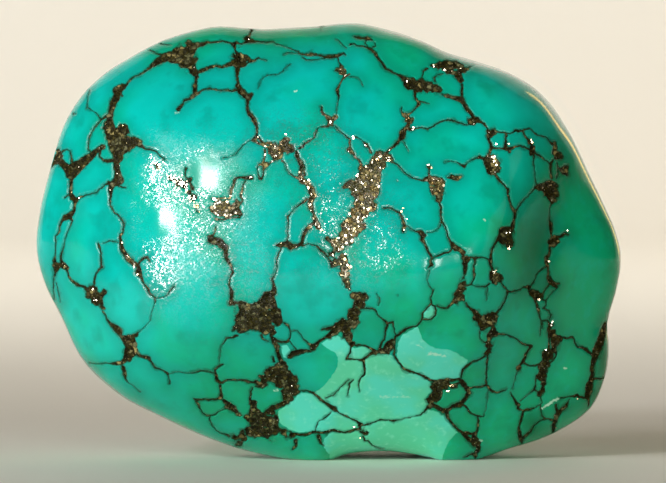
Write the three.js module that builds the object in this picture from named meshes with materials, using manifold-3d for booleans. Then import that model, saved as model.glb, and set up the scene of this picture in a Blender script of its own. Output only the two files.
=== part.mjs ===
// Turquoise specimen: one tumbled and polished nugget, smooth blue-green nodules in a dark web of matrix.
// Millimetres, +Z up. The origin is under the middle of the stone, on the flat that it rests on,
// and the photograph looks along +Y with +X to its right.
import * as THREE from 'three';
import { mergeVertices } from 'three/addons/utils/BufferGeometryUtils.js';
import Module from 'manifold-3d';

// Real sizes, mm
const LENGTH = 25.0; // left to right
const FRONT_DEPTH = 8.9; // from the middle of the stone to its front, before the flats are worn on
const BACK_DEPTH = 8.9; // and to its back
const WEAR_SOFTNESS = 1.0; // how softly a worn flat runs into the round beside it
const ROUNDNESS = 2.6; // exponent of the section: 2 is an ellipse, more is boxier
const LEAST_DEPTH = 0.45; // a flat never takes more than leaves this share of the round
const SEAM_DEPTH = 0.16; // how far a wide seam of matrix lies below the polish
const SEAM_EDGE = 0.28; // how far its walls take to come up
const PIT_DEPTH = 0.34; // the deepest pits of the matrix

// Mesh, mm
const ROUND_EDGE = 1.8; // longest edge on the plain rounds
const FRONT_SEAM_EDGE = 0.6; // longest edge at a seam or pit on the front
const BACK_SEAM_EDGE = 0.8; // and on the back
const COARSENING = 1.6; // how fast the edges lengthen away from a seam
const BALL_DETAIL = 8; // the ball that the mesh starts from
const SPLIT_PASSES = 3; // times that its long edges are halved
const DRAW_PASSES = 3; // times that its corners are drawn onto the seams
const SQUASHED = 0.4; // a triangle's least width, as a share of its longest edge

// The photograph's frame, in pixels: what is read off it by eye is given here, at the real scale below
const LENGTH_PX = 583.5; // the stone from left to right
const MIDDLE_PX = [328.25, 241]; // the middle of the outline
const FOOT_PX = 458; // the line that it rests on
const MM_PER_PX = LENGTH / LENGTH_PX;
const MIDDLE_Z = (FOOT_PX - MIDDLE_PX[1]) * MM_PER_PX;
const HALF_LENGTH = LENGTH / 2;
const HALF_HEIGHT = 9.3;

// The outline, clockwise from the left
const OUTLINE_PX = [
  [36.5, 245], [39, 215], [45, 188], [53, 160], [66, 121], [82, 95], [104, 75], [135, 54.5],
  [170, 38], [215, 27], [243, 28], [270, 29], [310, 27], [357, 23.5], [395, 32], [425, 42.5],
  [447, 53], [475, 61], [510, 74], [540, 92.5], [567, 130], [590, 176], [604, 205], [615, 230],
  [620.5, 257], [616, 291], [609.5, 312], [607, 326], [609, 344], [606, 373], [594, 402], [580, 417],
  [552, 434], [515, 447], [491, 455.5], [482, 460.5], [472, 465.5], [458, 468], [444, 465.5],
  [432, 459], [422, 455.7], [410, 453.3], [390, 451], [370, 451.3], [352, 453], [341, 456],
  [333, 460.5], [322, 466.5], [300, 466], [278, 458], [240, 448.5], [200, 434], [160, 415],
  [118, 393], [85, 361], [62, 318],
  [45, 283],
];

// Flats worn on the round: turn to the right and lean up from the line of sight, in degrees,
// and how far each is worn in, mm
const FRONT_FLATS = [
  { turn: -3, lean: 6, wear: 0.7 },
  { turn: -20, lean: 12, wear: 0.85 },
  { turn: -52, lean: 4, wear: 1.6 },
  { turn: -6, lean: -45, wear: 1.5 },
  { turn: 62, lean: -2, wear: 1.3 },
  { turn: 10, lean: 26, wear: 1.2 },
  { turn: 32, lean: -38, wear: 0.7 },
  { turn: -20, lean: 56, wear: 0.6 },
];
const BACK_FLATS = [
  { turn: 12, lean: -6, wear: 0.8 },
  { turn: -38, lean: 14, wear: 0.7 },
  { turn: 52, lean: 10, wear: 0.75 },
  { turn: 6, lean: 48, wear: 0.8 },
  { turn: -20, lean: -44, wear: 0.5 },
];

// Lumps and hollows between them: middle and half-widths in pixels, turned by so many degrees, rise in mm
const FRONT_LUMPS = [
  { at: [534, 242], half: [24, 66], turned: 12, rise: -0.75 }, // the hollow on the right
  { at: [592, 235], half: [26, 85], turned: 8, rise: 0.3 },
  { at: [516, 112], half: [46, 40], turned: 20, rise: 0.7 }, // the shoulder above it
  { at: [418, 62], half: [36, 30], turned: 0, rise: -0.5 },
  { at: [300, 330], half: [90, 22], turned: -8, rise: -0.16 },
  { at: [575, 360], half: [24, 36], turned: 0, rise: 0.2 },
  { at: [420, 265], half: [55, 50], turned: 10, rise: 0.25 },
  { at: [352, 200], half: [14, 70], turned: 15, rise: -0.12 },
  { at: [490, 200], half: [34, 60], turned: 10, rise: 0.3 },
  { at: [478, 352], half: [36, 44], turned: 0, rise: 0.4 },
];
const BACK_LUMPS = [
  { at: [230, 160], half: [70, 50], turned: 20, rise: 0.35 },
  { at: [400, 260], half: [34, 80], turned: -25, rise: -0.4 },
  { at: [480, 330], half: [60, 44], turned: 0, rise: 0.25 },
  { at: [160, 300], half: [46, 40], turned: 0, rise: -0.2 },
];

// Pits where the matrix lies deepest: middle, half-widths in pixels, turned, share of the pit depth
const PITS = [
  { at: [117, 142], half: [11, 17], turned: 0, deep: 0.9 },
  { at: [70, 168], half: [15, 9], turned: -30, deep: 0.8 },
  { at: [187, 60], half: [10, 13], turned: 15, deep: 0.6 },
  { at: [239, 60], half: [11, 11], turned: 0, deep: 0.7 },
  { at: [281, 149], half: [14, 10], turned: -20, deep: 0.8 },
  { at: [225, 210], half: [16, 10], turned: 0, deep: 1.0 },
  { at: [217, 243], half: [12, 8], turned: 30, deep: 0.7 },
  { at: [258, 314], half: [22, 17], turned: 10, deep: 1.0 },
  { at: [282, 380], half: [18, 14], turned: -25, deep: 0.9 },
  { at: [258, 424], half: [24, 14], turned: -10, deep: 0.8 },
  { at: [371, 172], half: [13, 24], turned: 24, deep: 1.0 },
  { at: [355, 222], half: [12, 26], turned: 20, deep: 0.9 },
  { at: [347, 320], half: [14, 17], turned: 30, deep: 0.8 },
  { at: [424, 86], half: [20, 8], turned: 8, deep: 0.8 },
  { at: [436, 188], half: [9, 13], turned: -10, deep: 0.8 },
  { at: [492, 164], half: [9, 13], turned: -30, deep: 0.8 },
  { at: [550, 189], half: [10, 13], turned: -15, deep: 1.0 },
  { at: [507, 236], half: [10, 11], turned: 0, deep: 0.9 },
  { at: [556, 240], half: [11, 8], turned: 30, deep: 0.8 },
  { at: [487, 320], half: [15, 9], turned: -10, deep: 0.8 },
  { at: [553, 338], half: [9, 14], turned: -10, deep: 0.8 },
  { at: [600, 345], half: [9, 20], turned: 15, deep: 0.8 },
];

// The widest seams of matrix, point by point in pixels
const SEAM_HALF_WIDTH_PX = 3.4;
const SEAMS = [
  [[150, 67], [128, 82], [118, 92], [110, 117], [112, 136], [118, 152], [117, 172], [109, 192]],
  [[122, 245], [136, 265], [145, 286]],
  [[103, 150], [86, 160], [70, 172], [55, 158]],
  [[71, 176], [73, 198], [70, 216]],
  [[66, 270], [82, 286], [100, 301]],
  [[100, 301], [112, 325], [131, 346], [118, 364]],
  [[190, 72], [214, 66], [236, 62]],
  [[238, 64], [238, 88], [249, 102], [256, 126], [271, 145]],
  [[285, 150], [300, 167], [308, 188], [312, 212], [318, 230]],
  [[213, 236], [226, 254], [232, 280], [233, 304]],
  [[233, 304], [258, 316], [272, 340], [282, 368]],
  [[277, 246], [298, 245], [310, 224]],
  [[310, 348], [334, 332], [350, 322]],
  [[240, 414], [258, 424], [282, 432]],
  [[344, 74], [338, 100], [334, 122], [350, 148], [370, 166]],
  [[375, 55], [404, 80]],
  [[440, 92], [464, 102], [476, 120], [490, 132]],
  [[386, 154], [403, 134], [412, 118], [416, 100], [420, 88]],
  [[434, 182], [442, 215], [455, 246], [466, 268], [462, 294]],
  [[345, 240], [344, 270], [352, 295], [350, 320]],
  [[462, 296], [478, 318], [490, 334], [489, 360], [486, 385]],
  [[490, 135], [491, 160], [498, 178], [509, 198], [515, 212], [508, 234]],
  [[506, 236], [493, 250], [491, 270], [498, 280]],
  [[555, 144], [556, 158], [552, 182]],
  [[552, 196], [550, 222], [556, 238], [549, 258], [549, 282], [537, 296]],
  [[606, 326], [600, 346], [594, 372], [588, 398]],
  [[548, 352], [545, 368], [542, 394]],
];

// The web on the back: smooth nodules of about this size, with the same seams between them
const BACK_NODULES = 96;
const NODULE_SCATTER = 0.16; // how far each leaves its even place, as a share of the ball's radius
const BACK_SEAM_HALF_WIDTH = 0.13;
const WANDER = 0.22; // how far the seams stray from straight, mm
const HANDOVER = [0.02, 0.12]; // how squarely the surface faces front before the front web takes over

const smoothstep = (low, high, x) => {
  const t = Math.min(1, Math.max(0, (x - low) / (high - low)));
  return t * t * (3 - 2 * t);
};
const fromMiddle = ([px, py]) => [(px - MIDDLE_PX[0]) * MM_PER_PX, (MIDDLE_PX[1] - py) * MM_PER_PX];
const radians = THREE.MathUtils.degToRad;

// Distance from the middle to the outline in any direction, a smooth curve through the points
const outline = OUTLINE_PX.map(fromMiddle)
  .map(([x, z]) => ({ angle: Math.atan2(z, x), reach: Math.hypot(x, z) }))
  .sort((a, b) => a.angle - b.angle);

function outlineReach(angle) {
  const count = outline.length;
  const at = (i) => {
    const turns = Math.floor(i / count);
    const point = outline[i - turns * count];
    return { angle: point.angle + turns * 2 * Math.PI, reach: point.reach };
  };
  let i = outline.findIndex((point) => point.angle > angle);
  if (i < 0) i = count;
  const [before, start, end, after] = [at(i - 2), at(i - 1), at(i), at(i + 1)];
  const span = end.angle - start.angle;
  const t = (angle - start.angle) / span;
  const slopeStart = ((end.reach - before.reach) / (end.angle - before.angle)) * span;
  const slopeEnd = ((after.reach - start.reach) / (after.angle - start.angle)) * span;
  return (
    start.reach * (2 * t ** 3 - 3 * t ** 2 + 1) + slopeStart * (t ** 3 - 2 * t ** 2 + t)
    + end.reach * (3 * t ** 2 - 2 * t ** 3) + slopeEnd * (t ** 3 - t ** 2)
  );
}

// How far a place lies inside an ellipse given in pixels: 1 at its middle, 0.37 at its rim, near 0 beyond
function within({ at, half, turned }, x, z) {
  const [x0, z0] = fromMiddle(at);
  const [c, s] = [Math.cos(radians(turned)), Math.sin(radians(turned))];
  const u = ((x - x0) * c - (z - z0) * s) / (half[0] * MM_PER_PX);
  const v = ((x - x0) * s + (z - z0) * c) / (half[1] * MM_PER_PX);
  return Math.exp(-(u * u + v * v));
}

// A worn flat as a plane: its normal from the middle outwards, and its distance
function plane({ turn, lean, wear }, depth) {
  const normal = new THREE.Vector3(
    Math.cos(radians(lean)) * Math.sin(radians(turn)),
    Math.cos(radians(lean)) * Math.cos(radians(turn)),
    Math.sin(radians(lean)),
  );
  const distance = Math.hypot(normal.x * HALF_LENGTH, normal.y * depth, normal.z * HALF_HEIGHT) - wear;
  return { normal, distance };
}
const SIDES = {
  front: { depth: FRONT_DEPTH, flats: FRONT_FLATS.map((f) => plane(f, FRONT_DEPTH)), lumps: FRONT_LUMPS },
  back: { depth: BACK_DEPTH, flats: BACK_FLATS.map((f) => plane(f, BACK_DEPTH)), lumps: BACK_LUMPS },
};

// The smooth stone without its seams: a direction on the unit ball gives the place on the surface
function stoneSurface(direction) {
  const ring = Math.min(1, Math.hypot(direction.x, direction.z));
  const angle = Math.atan2(direction.z, direction.x);
  const oval = (HALF_LENGTH * HALF_HEIGHT) / Math.hypot(HALF_HEIGHT * Math.cos(angle), HALF_LENGTH * Math.sin(angle));
  const reach = oval + (outlineReach(angle) - oval) * ring * ring;
  const x = reach * ring * Math.cos(angle);
  const z = reach * ring * Math.sin(angle);
  const side = direction.y < 0 ? SIDES.front : SIDES.back;
  const round = side.depth * Math.max(0, 1 - ring ** ROUNDNESS) ** (1 / ROUNDNESS);
  let sum = 1;
  for (const { normal, distance } of side.flats) {
    const flat = (distance - normal.x * x - normal.z * z) / normal.y;
    sum += Math.exp((round - flat) / WEAR_SOFTNESS);
  }
  let deep = round - WEAR_SOFTNESS * Math.log(sum);
  const fade = 1 - ring ** 6;
  for (const lump of side.lumps) deep += lump.rise * within(lump, x, z) * fade;
  const least = round * LEAST_DEPTH;
  deep = least + (deep - least + Math.hypot(deep - least, round * 0.15)) / 2;
  return new THREE.Vector3(x, direction.y < 0 ? -deep : deep, z);
}

// Which way the surface faces, near enough for pushing seams in
function facing(place) {
  const depth = place.y < 0 ? FRONT_DEPTH : BACK_DEPTH;
  return new THREE.Vector3(
    place.x / HALF_LENGTH ** 2,
    place.y / depth ** 2,
    place.z / HALF_HEIGHT ** 2,
  ).normalize();
}

// The way from a place to the nearest point of a line, both seen from the front
function wayToSegment({ x, z }, [x0, z0], [x1, z1]) {
  const [dx, dz] = [x1 - x0, z1 - z0];
  const t = Math.min(1, Math.max(0, ((x - x0) * dx + (z - z0) * dz) / (dx * dx + dz * dz)));
  return new THREE.Vector3(x0 + t * dx - x, 0, z0 + t * dz - z);
}
const frontSegments = SEAMS.flatMap((seam) =>
  seam.slice(1).map((end, i) => [fromMiddle(seam[i]), fromMiddle(end)]));

// The middles of the nodules on the back: even places on a ball, each moved a little
const noduleMiddles = Array.from({ length: BACK_NODULES }, (_, i) => {
  const height = 1 - (2 * i + 1) / BACK_NODULES;
  const turn = i * Math.PI * (3 - Math.sqrt(5));
  const ring = Math.sqrt(1 - height * height);
  const even = new THREE.Vector3(ring * Math.cos(turn), height, ring * Math.sin(turn));
  const moved = new THREE.Vector3(Math.sin(i * 12.9), Math.sin(i * 78.2 + 1), Math.sin(i * 37.7 + 2));
  return stoneSurface(even.addScaledVector(moved, NODULE_SCATTER).normalize());
});

// The way from a place to the middle of the nearest seam
function wayToFrontSeam(place) {
  let nearest = new THREE.Vector3(Infinity, 0, 0);
  for (const [start, end] of frontSegments) {
    const way = wayToSegment(place, start, end);
    if (way.length() < nearest.length()) nearest = way;
  }
  return nearest;
}
function wayToBackSeam(place) {
  const strayed = new THREE.Vector3(
    place.x + WANDER * Math.sin(place.z * 2.1 + place.y * 1.3),
    place.y + WANDER * Math.sin(place.x * 1.9 + place.z * 1.7),
    place.z + WANDER * Math.sin(place.y * 2.3 + place.x * 1.1),
  );
  let [nearest, second] = [noduleMiddles[0], noduleMiddles[1]];
  for (const middle of noduleMiddles) {
    if (strayed.distanceTo(middle) < strayed.distanceTo(nearest)) [nearest, second] = [middle, nearest];
    else if (middle !== nearest && strayed.distanceTo(middle) < strayed.distanceTo(second)) second = middle;
  }
  const across = second.clone().sub(nearest);
  const apart = across.length();
  const way = (strayed.distanceToSquared(second) - strayed.distanceToSquared(nearest)) / (2 * apart);
  return across.multiplyScalar(way / apart);
}

// Distance to the nearest seam edge, in mm: below 0 inside a seam
const frontSeamDistance = (place) => wayToFrontSeam(place).length() - SEAM_HALF_WIDTH_PX * MM_PER_PX;
const backSeamDistance = (place) => wayToBackSeam(place).length() - BACK_SEAM_HALF_WIDTH;
function seamDistance(place, towardsFront) {
  const front = smoothstep(...HANDOVER, towardsFront);
  return Math.min(frontSeamDistance(place) + (1 - front), backSeamDistance(place) + front);
}

// How deep the matrix lies at a place, mm
function recess(place, towardsFront) {
  const seam = SEAM_DEPTH * (1 - smoothstep(-SEAM_EDGE / 2, SEAM_EDGE, seamDistance(place, towardsFront)));
  const front = smoothstep(...HANDOVER, towardsFront);
  const pits = PITS.map((pit) => pit.deep * within(pit, place.x, place.z));
  return Math.max(seam, PIT_DEPTH * front * Math.max(...pits));
}

// Splits every edge that is longer than the detail there asks for, triangle by triangle
function splitLongEdges(points, triangles) {
  const wanted = points.map(({ direction }) => {
    const place = stoneSurface(direction);
    const towardsFront = -facing(place).y;
    const fine = towardsFront > HANDOVER[0] ? FRONT_SEAM_EDGE : BACK_SEAM_EDGE;
    const pitted = recess(place, towardsFront) > 0.03;
    const graded = pitted ? fine : fine + COARSENING * Math.max(0, seamDistance(place, towardsFront) - SEAM_EDGE);
    return { place, edge: Math.min(graded, ROUND_EDGE) };
  });
  const middles = new Map();
  const middle = (a, b) => {
    const length = wanted[a].place.distanceTo(wanted[b].place);
    if (length <= Math.min(wanted[a].edge, wanted[b].edge)) return -1;
    const key = a < b ? `${a} ${b}` : `${b} ${a}`;
    if (!middles.has(key)) {
      const direction = points[a].direction.clone().add(points[b].direction).normalize();
      middles.set(key, points.push({ direction }) - 1);
    }
    return middles.get(key);
  };
  return triangles.flatMap(([a, b, c]) => {
    const [ab, bc, ca] = [middle(a, b), middle(b, c), middle(c, a)];
    const split = (ab >= 0) + (bc >= 0) + (ca >= 0);
    if (split === 0) return [[a, b, c]];
    if (split === 3) return [[a, ab, ca], [ab, b, bc], [ca, bc, c], [ab, bc, ca]];
    if (split === 1) {
      if (ab >= 0) return [[a, ab, c], [ab, b, c]];
      if (bc >= 0) return [[b, bc, a], [bc, c, a]];
      return [[c, ca, b], [ca, a, b]];
    }
    if (ab < 0) return [[c, ca, bc], [ca, a, bc], [a, b, bc]];
    if (bc < 0) return [[a, ab, ca], [ab, b, ca], [b, c, ca]];
    return [[b, bc, ab], [bc, c, ab], [c, a, ab]];
  });
}

// Where a point on the unit ball goes when its place on the stone moves by so much
function movedDirection(direction, place, way) {
  const ring = Math.hypot(direction.x, direction.z);
  const reach = ring > 0.01 ? Math.hypot(place.x, place.z) / ring : HALF_HEIGHT;
  const moved = new THREE.Vector3(way.x / reach, way.y / FRONT_DEPTH, way.z / reach);
  return moved.add(direction).normalize();
}

// Moves an end of each edge that crosses a seam onto the middle of the seam, so that the seam is a clean groove
function drawSeams(points, triangles) {
  const edges = triangles.flatMap(([a, b, c]) => [[a, b], [b, c], [c, a]]).filter(([a, b]) => a < b);
  for (let pass = 0; pass < DRAW_PASSES; pass += 1) {
    const looked = points.map(({ direction }) => {
      const place = stoneSurface(direction);
      const front = -facing(place).y > HANDOVER[1];
      return { place, front, way: front ? wayToFrontSeam(place) : wayToBackSeam(place) };
    });
    const moves = new Map();
    for (const [a, b] of edges) {
      const along = looked[b].place.clone().sub(looked[a].place);
      const crosses = looked[a].way.dot(along) > 0 && looked[b].way.dot(along) < 0;
      const nearer = looked[a].way.length() < looked[b].way.length() ? a : b;
      const close = looked[nearer].way.length() < along.length() * 0.5;
      if (crosses && close && looked[a].front === looked[b].front && along.length() < BACK_SEAM_EDGE) {
        moves.set(nearer, movedDirection(points[nearer].direction, looked[nearer].place, looked[nearer].way));
      }
    }
    leaveOutSquashing(moves, looked, triangles);
    for (const [i, direction] of moves) points[i].direction = direction;
  }
}

// A move that would squash or turn over a triangle is left out
function leaveOutSquashing(moves, looked, triangles) {
  let before = Infinity;
  while (moves.size < before) {
    before = moves.size;
    for (const corners of triangles) {
      if (!corners.some((i) => moves.has(i))) continue;
      const [a, b, c] = corners.map((i) => (moves.has(i) ? stoneSurface(moves.get(i)) : looked[i].place));
      const longest = Math.max(a.distanceTo(b), b.distanceTo(c), c.distanceTo(a));
      const across = b.clone().sub(a).cross(c.clone().sub(a));
      if (across.dot(facing(a)) < SQUASHED * longest ** 2) corners.forEach((i) => moves.delete(i));
    }
  }
}

function nuggetGeometry() {
  const ball = new THREE.IcosahedronGeometry(1, BALL_DETAIL);
  ball.deleteAttribute('normal');
  ball.deleteAttribute('uv');
  const joined = mergeVertices(ball, 1e-5);
  const position = joined.getAttribute('position');
  const points = Array.from({ length: position.count }, (_, i) => ({
    direction: new THREE.Vector3().fromBufferAttribute(position, i).normalize(),
  }));
  let triangles = [];
  for (let i = 0; i < joined.index.count; i += 3) {
    triangles.push([joined.index.getX(i), joined.index.getX(i + 1), joined.index.getX(i + 2)]);
  }
  for (let pass = 0; pass < SPLIT_PASSES; pass += 1) triangles = splitLongEdges(points, triangles);
  drawSeams(points, triangles);

  const placed = new Float32Array(points.length * 3);
  points.forEach(({ direction }, i) => {
    const place = stoneSurface(direction);
    const out = facing(place);
    place.addScaledVector(out, -recess(place, -out.y));
    placed.set([place.x, place.y, place.z + MIDDLE_Z], i * 3);
  });
  const geometry = new THREE.BufferGeometry();
  geometry.setAttribute('position', new THREE.BufferAttribute(placed, 3));
  geometry.setIndex(triangles.flat());
  return geometry;
}

const wasm = await Module();
wasm.setup();

function toSolid(geometry) {
  const bare = geometry.clone();
  bare.deleteAttribute('normal');
  bare.deleteAttribute('uv');
  const joined = mergeVertices(bare, 1e-6);
  return new wasm.Manifold(new wasm.Mesh({
    numProp: 3,
    vertProperties: new Float32Array(joined.getAttribute('position').array),
    triVerts: new Uint32Array(joined.index.array),
  }));
}
function toGeometry(solid) {
  const { vertProperties, triVerts } = solid.getMesh();
  const geometry = new THREE.BufferGeometry();
  geometry.setAttribute('position', new THREE.BufferAttribute(vertProperties, 3));
  geometry.setIndex(new THREE.BufferAttribute(triVerts, 1));
  geometry.computeVertexNormals();
  return geometry;
}

// The flat underneath, where the stone rests: everything below the foot line is worn away
const below = new THREE.BoxGeometry(LENGTH * 2, LENGTH * 2, LENGTH);
below.translate(0, 0, -LENGTH / 2);
const rested = toGeometry(toSolid(nuggetGeometry()).subtract(toSolid(below)));

// The middle of its box comes over the origin
rested.computeBoundingBox();
const middle = rested.boundingBox.getCenter(new THREE.Vector3());
rested.translate(-middle.x, -middle.y, 0);

const polishedTurquoise = new THREE.MeshStandardMaterial({ color: '#12a394', roughness: 0.22, metalness: 0 });
const nugget = new THREE.Mesh(rested, polishedTurquoise);
nugget.name = 'turquoise_nugget';

const specimen = new THREE.Group();
specimen.name = 'turquoise_specimen';
specimen.add(nugget);

export default specimen;
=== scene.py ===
"""Turquoise specimen: a tumbled, polished nugget in a dark web of matrix, on a plain pale floor."""
import math
import random
from functools import partial

import bmesh
import bpy
import numpy as np
from bpy.props import FloatProperty, FloatVectorProperty, IntProperty, PointerProperty
from mathutils import Matrix, Vector, noise
from mathutils.kdtree import KDTree


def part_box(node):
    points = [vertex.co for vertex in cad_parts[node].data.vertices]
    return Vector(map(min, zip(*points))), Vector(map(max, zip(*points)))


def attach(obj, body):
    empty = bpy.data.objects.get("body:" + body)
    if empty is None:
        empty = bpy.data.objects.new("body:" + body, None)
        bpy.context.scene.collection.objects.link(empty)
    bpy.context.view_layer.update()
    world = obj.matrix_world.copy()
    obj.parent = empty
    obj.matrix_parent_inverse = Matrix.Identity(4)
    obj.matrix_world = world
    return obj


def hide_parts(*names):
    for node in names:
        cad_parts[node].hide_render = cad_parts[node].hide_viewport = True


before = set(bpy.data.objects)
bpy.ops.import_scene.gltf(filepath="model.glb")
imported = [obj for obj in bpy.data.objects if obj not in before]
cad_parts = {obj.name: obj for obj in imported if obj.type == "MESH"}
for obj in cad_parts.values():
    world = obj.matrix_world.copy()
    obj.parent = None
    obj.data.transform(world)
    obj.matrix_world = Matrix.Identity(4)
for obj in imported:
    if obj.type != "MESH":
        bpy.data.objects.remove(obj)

bl_info = {
    "name": "Turquoise Nugget",
    "version": (1, 0, 0),
    "blender": (4, 5, 0),
    "location": "3D View > Sidebar > Turquoise",
    "description": "Makes a tumbled turquoise nugget with its web of matrix and its pyrite",
    "category": "Add Mesh",
}

MM = 0.001
NODE = "turquoise_nugget"
LOW, HIGH = (Vector(corner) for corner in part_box(NODE))

# The photograph's frame, in pixels: places that are read off it are given here
FRAME_PX = (666, 483)
LENGTH_PX = 583.5
MIDDLE_PX = (328.25, 241.0)
FOOT_PX = 458.0
LENGTH = 25.0  # mm
MM_PER_PX = LENGTH / LENGTH_PX
MIDDLE_Z = (FOOT_PX - MIDDLE_PX[1]) * MM_PER_PX  # height of the middle above the foot, mm
HALF_HEIGHT = 9.3  # of the plain oval that the outline departs from, mm
LEAST_DEPTH = 0.45  # share of the round's depth that no flat or hollow takes away
LEAST_SOFTNESS = 0.15  # share over which the surface settles on that
LUMP_FADE = 6  # power by which lumps fade out at the outline

# The camera: level with the stone and far off, as a macro view is
VIEW_DISTANCE = 250.0  # mm
VIEW_ELEVATION = math.radians(1.5)
SENSOR = 36.0  # mm

# Name, degrees right of the camera and up, distance in m, width and height in m, power in W, colour
LIGHTS = (
    ("first window", -59, 12, 0.9, (0.32, 0.08), 3.1, "#FFFFFF"),
    ("second window", -32, 24, 0.9, (0.12, 0.10), 1.8, "#FFFFFF"),
    ("third window", 14, 10, 0.9, (0.14, 0.14), 1.5, "#FFFFFF"),
    ("wide soft", -42, 16, 0.9, (0.7, 0.7), 2.6, "#FFFFFF"),
    ("warm fill", 50, 10, 1.0, (0.6, 0.6), 0.65, "#E8F0B8"),
    ("rim", 150, 12, 0.5, (0.05, 0.4), 0.22, "#FFC868"),
)
BACKDROP_MIDDLE = (0, 0.6, 0.05)  # m
BACKDROP_LIGHT = ("backdrop light", 0, 24, 0.5, (0.9, 0.1), 1.3, "#FFFAF2")
WORLD_COLOUR = "#FFE2B8"
WORLD_STRENGTH = 0.07

# The outline, clockwise from the left
OUTLINE_PX = (
    (36.5, 245), (39, 215), (45, 188), (53, 160), (66, 121), (82, 95), (104, 75), (135, 54.5), (170, 38),
    (215, 27), (243, 28), (270, 29), (310, 27), (357, 23.5), (395, 32), (425, 42.5), (447, 53), (475, 61),
    (510, 74), (540, 92.5), (567, 130), (590, 176), (604, 205), (615, 230), (620.5, 257), (616, 291),
    (609.5, 312), (607, 326), (609, 344), (606, 373), (594, 402), (580, 417), (552, 434), (515, 447),
    (491, 455.5), (482, 460.5), (472, 465.5), (458, 468), (444, 465.5), (432, 459), (422, 455.7),
    (410, 453.3), (390, 451), (370, 451.3), (352, 453), (341, 456), (333, 460.5), (322, 466.5),
    (300, 466), (278, 458), (240, 448.5), (200, 434), (160, 415), (118, 393), (85, 361), (62, 318),
    (45, 283),
)

# Flats worn on the round: turn to the right and lean up, in degrees, and the wear in mm
FRONT_FLATS = (
    (-3, 6, 0.7), (-20, 12, 0.85), (-52, 4, 1.6), (-6, -45, 1.5), (62, -2, 1.3), (10, 26, 1.2),
    (32, -38, 0.7), (-20, 56, 0.6),
)
BACK_FLATS = (
    (12, -6, 0.8), (-38, 14, 0.7), (52, 10, 0.75), (6, 48, 0.8), (-20, -44, 0.5),
)

# Lumps and hollows: middle and half-widths in pixels, degrees turned, rise in mm
FRONT_LUMPS = (
    ((534, 242), (24, 66), 12, -0.75), ((592, 235), (26, 85), 8, 0.3), ((516, 112), (46, 40), 20, 0.7),
    ((418, 62), (36, 30), 0, -0.5), ((300, 330), (90, 22), -8, -0.16), ((575, 360), (24, 36), 0, 0.2),
    ((420, 265), (55, 50), 10, 0.25), ((352, 200), (14, 70), 15, -0.12), ((490, 200), (34, 60), 10, 0.3),
    ((478, 352), (36, 44), 0, 0.4),
)
BACK_LUMPS = (
    ((230, 160), (70, 50), 20, 0.35), ((400, 260), (34, 80), -25, -0.4), ((480, 330), (60, 44), 0, 0.25),
    ((160, 300), (46, 40), 0, -0.2),
)

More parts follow.
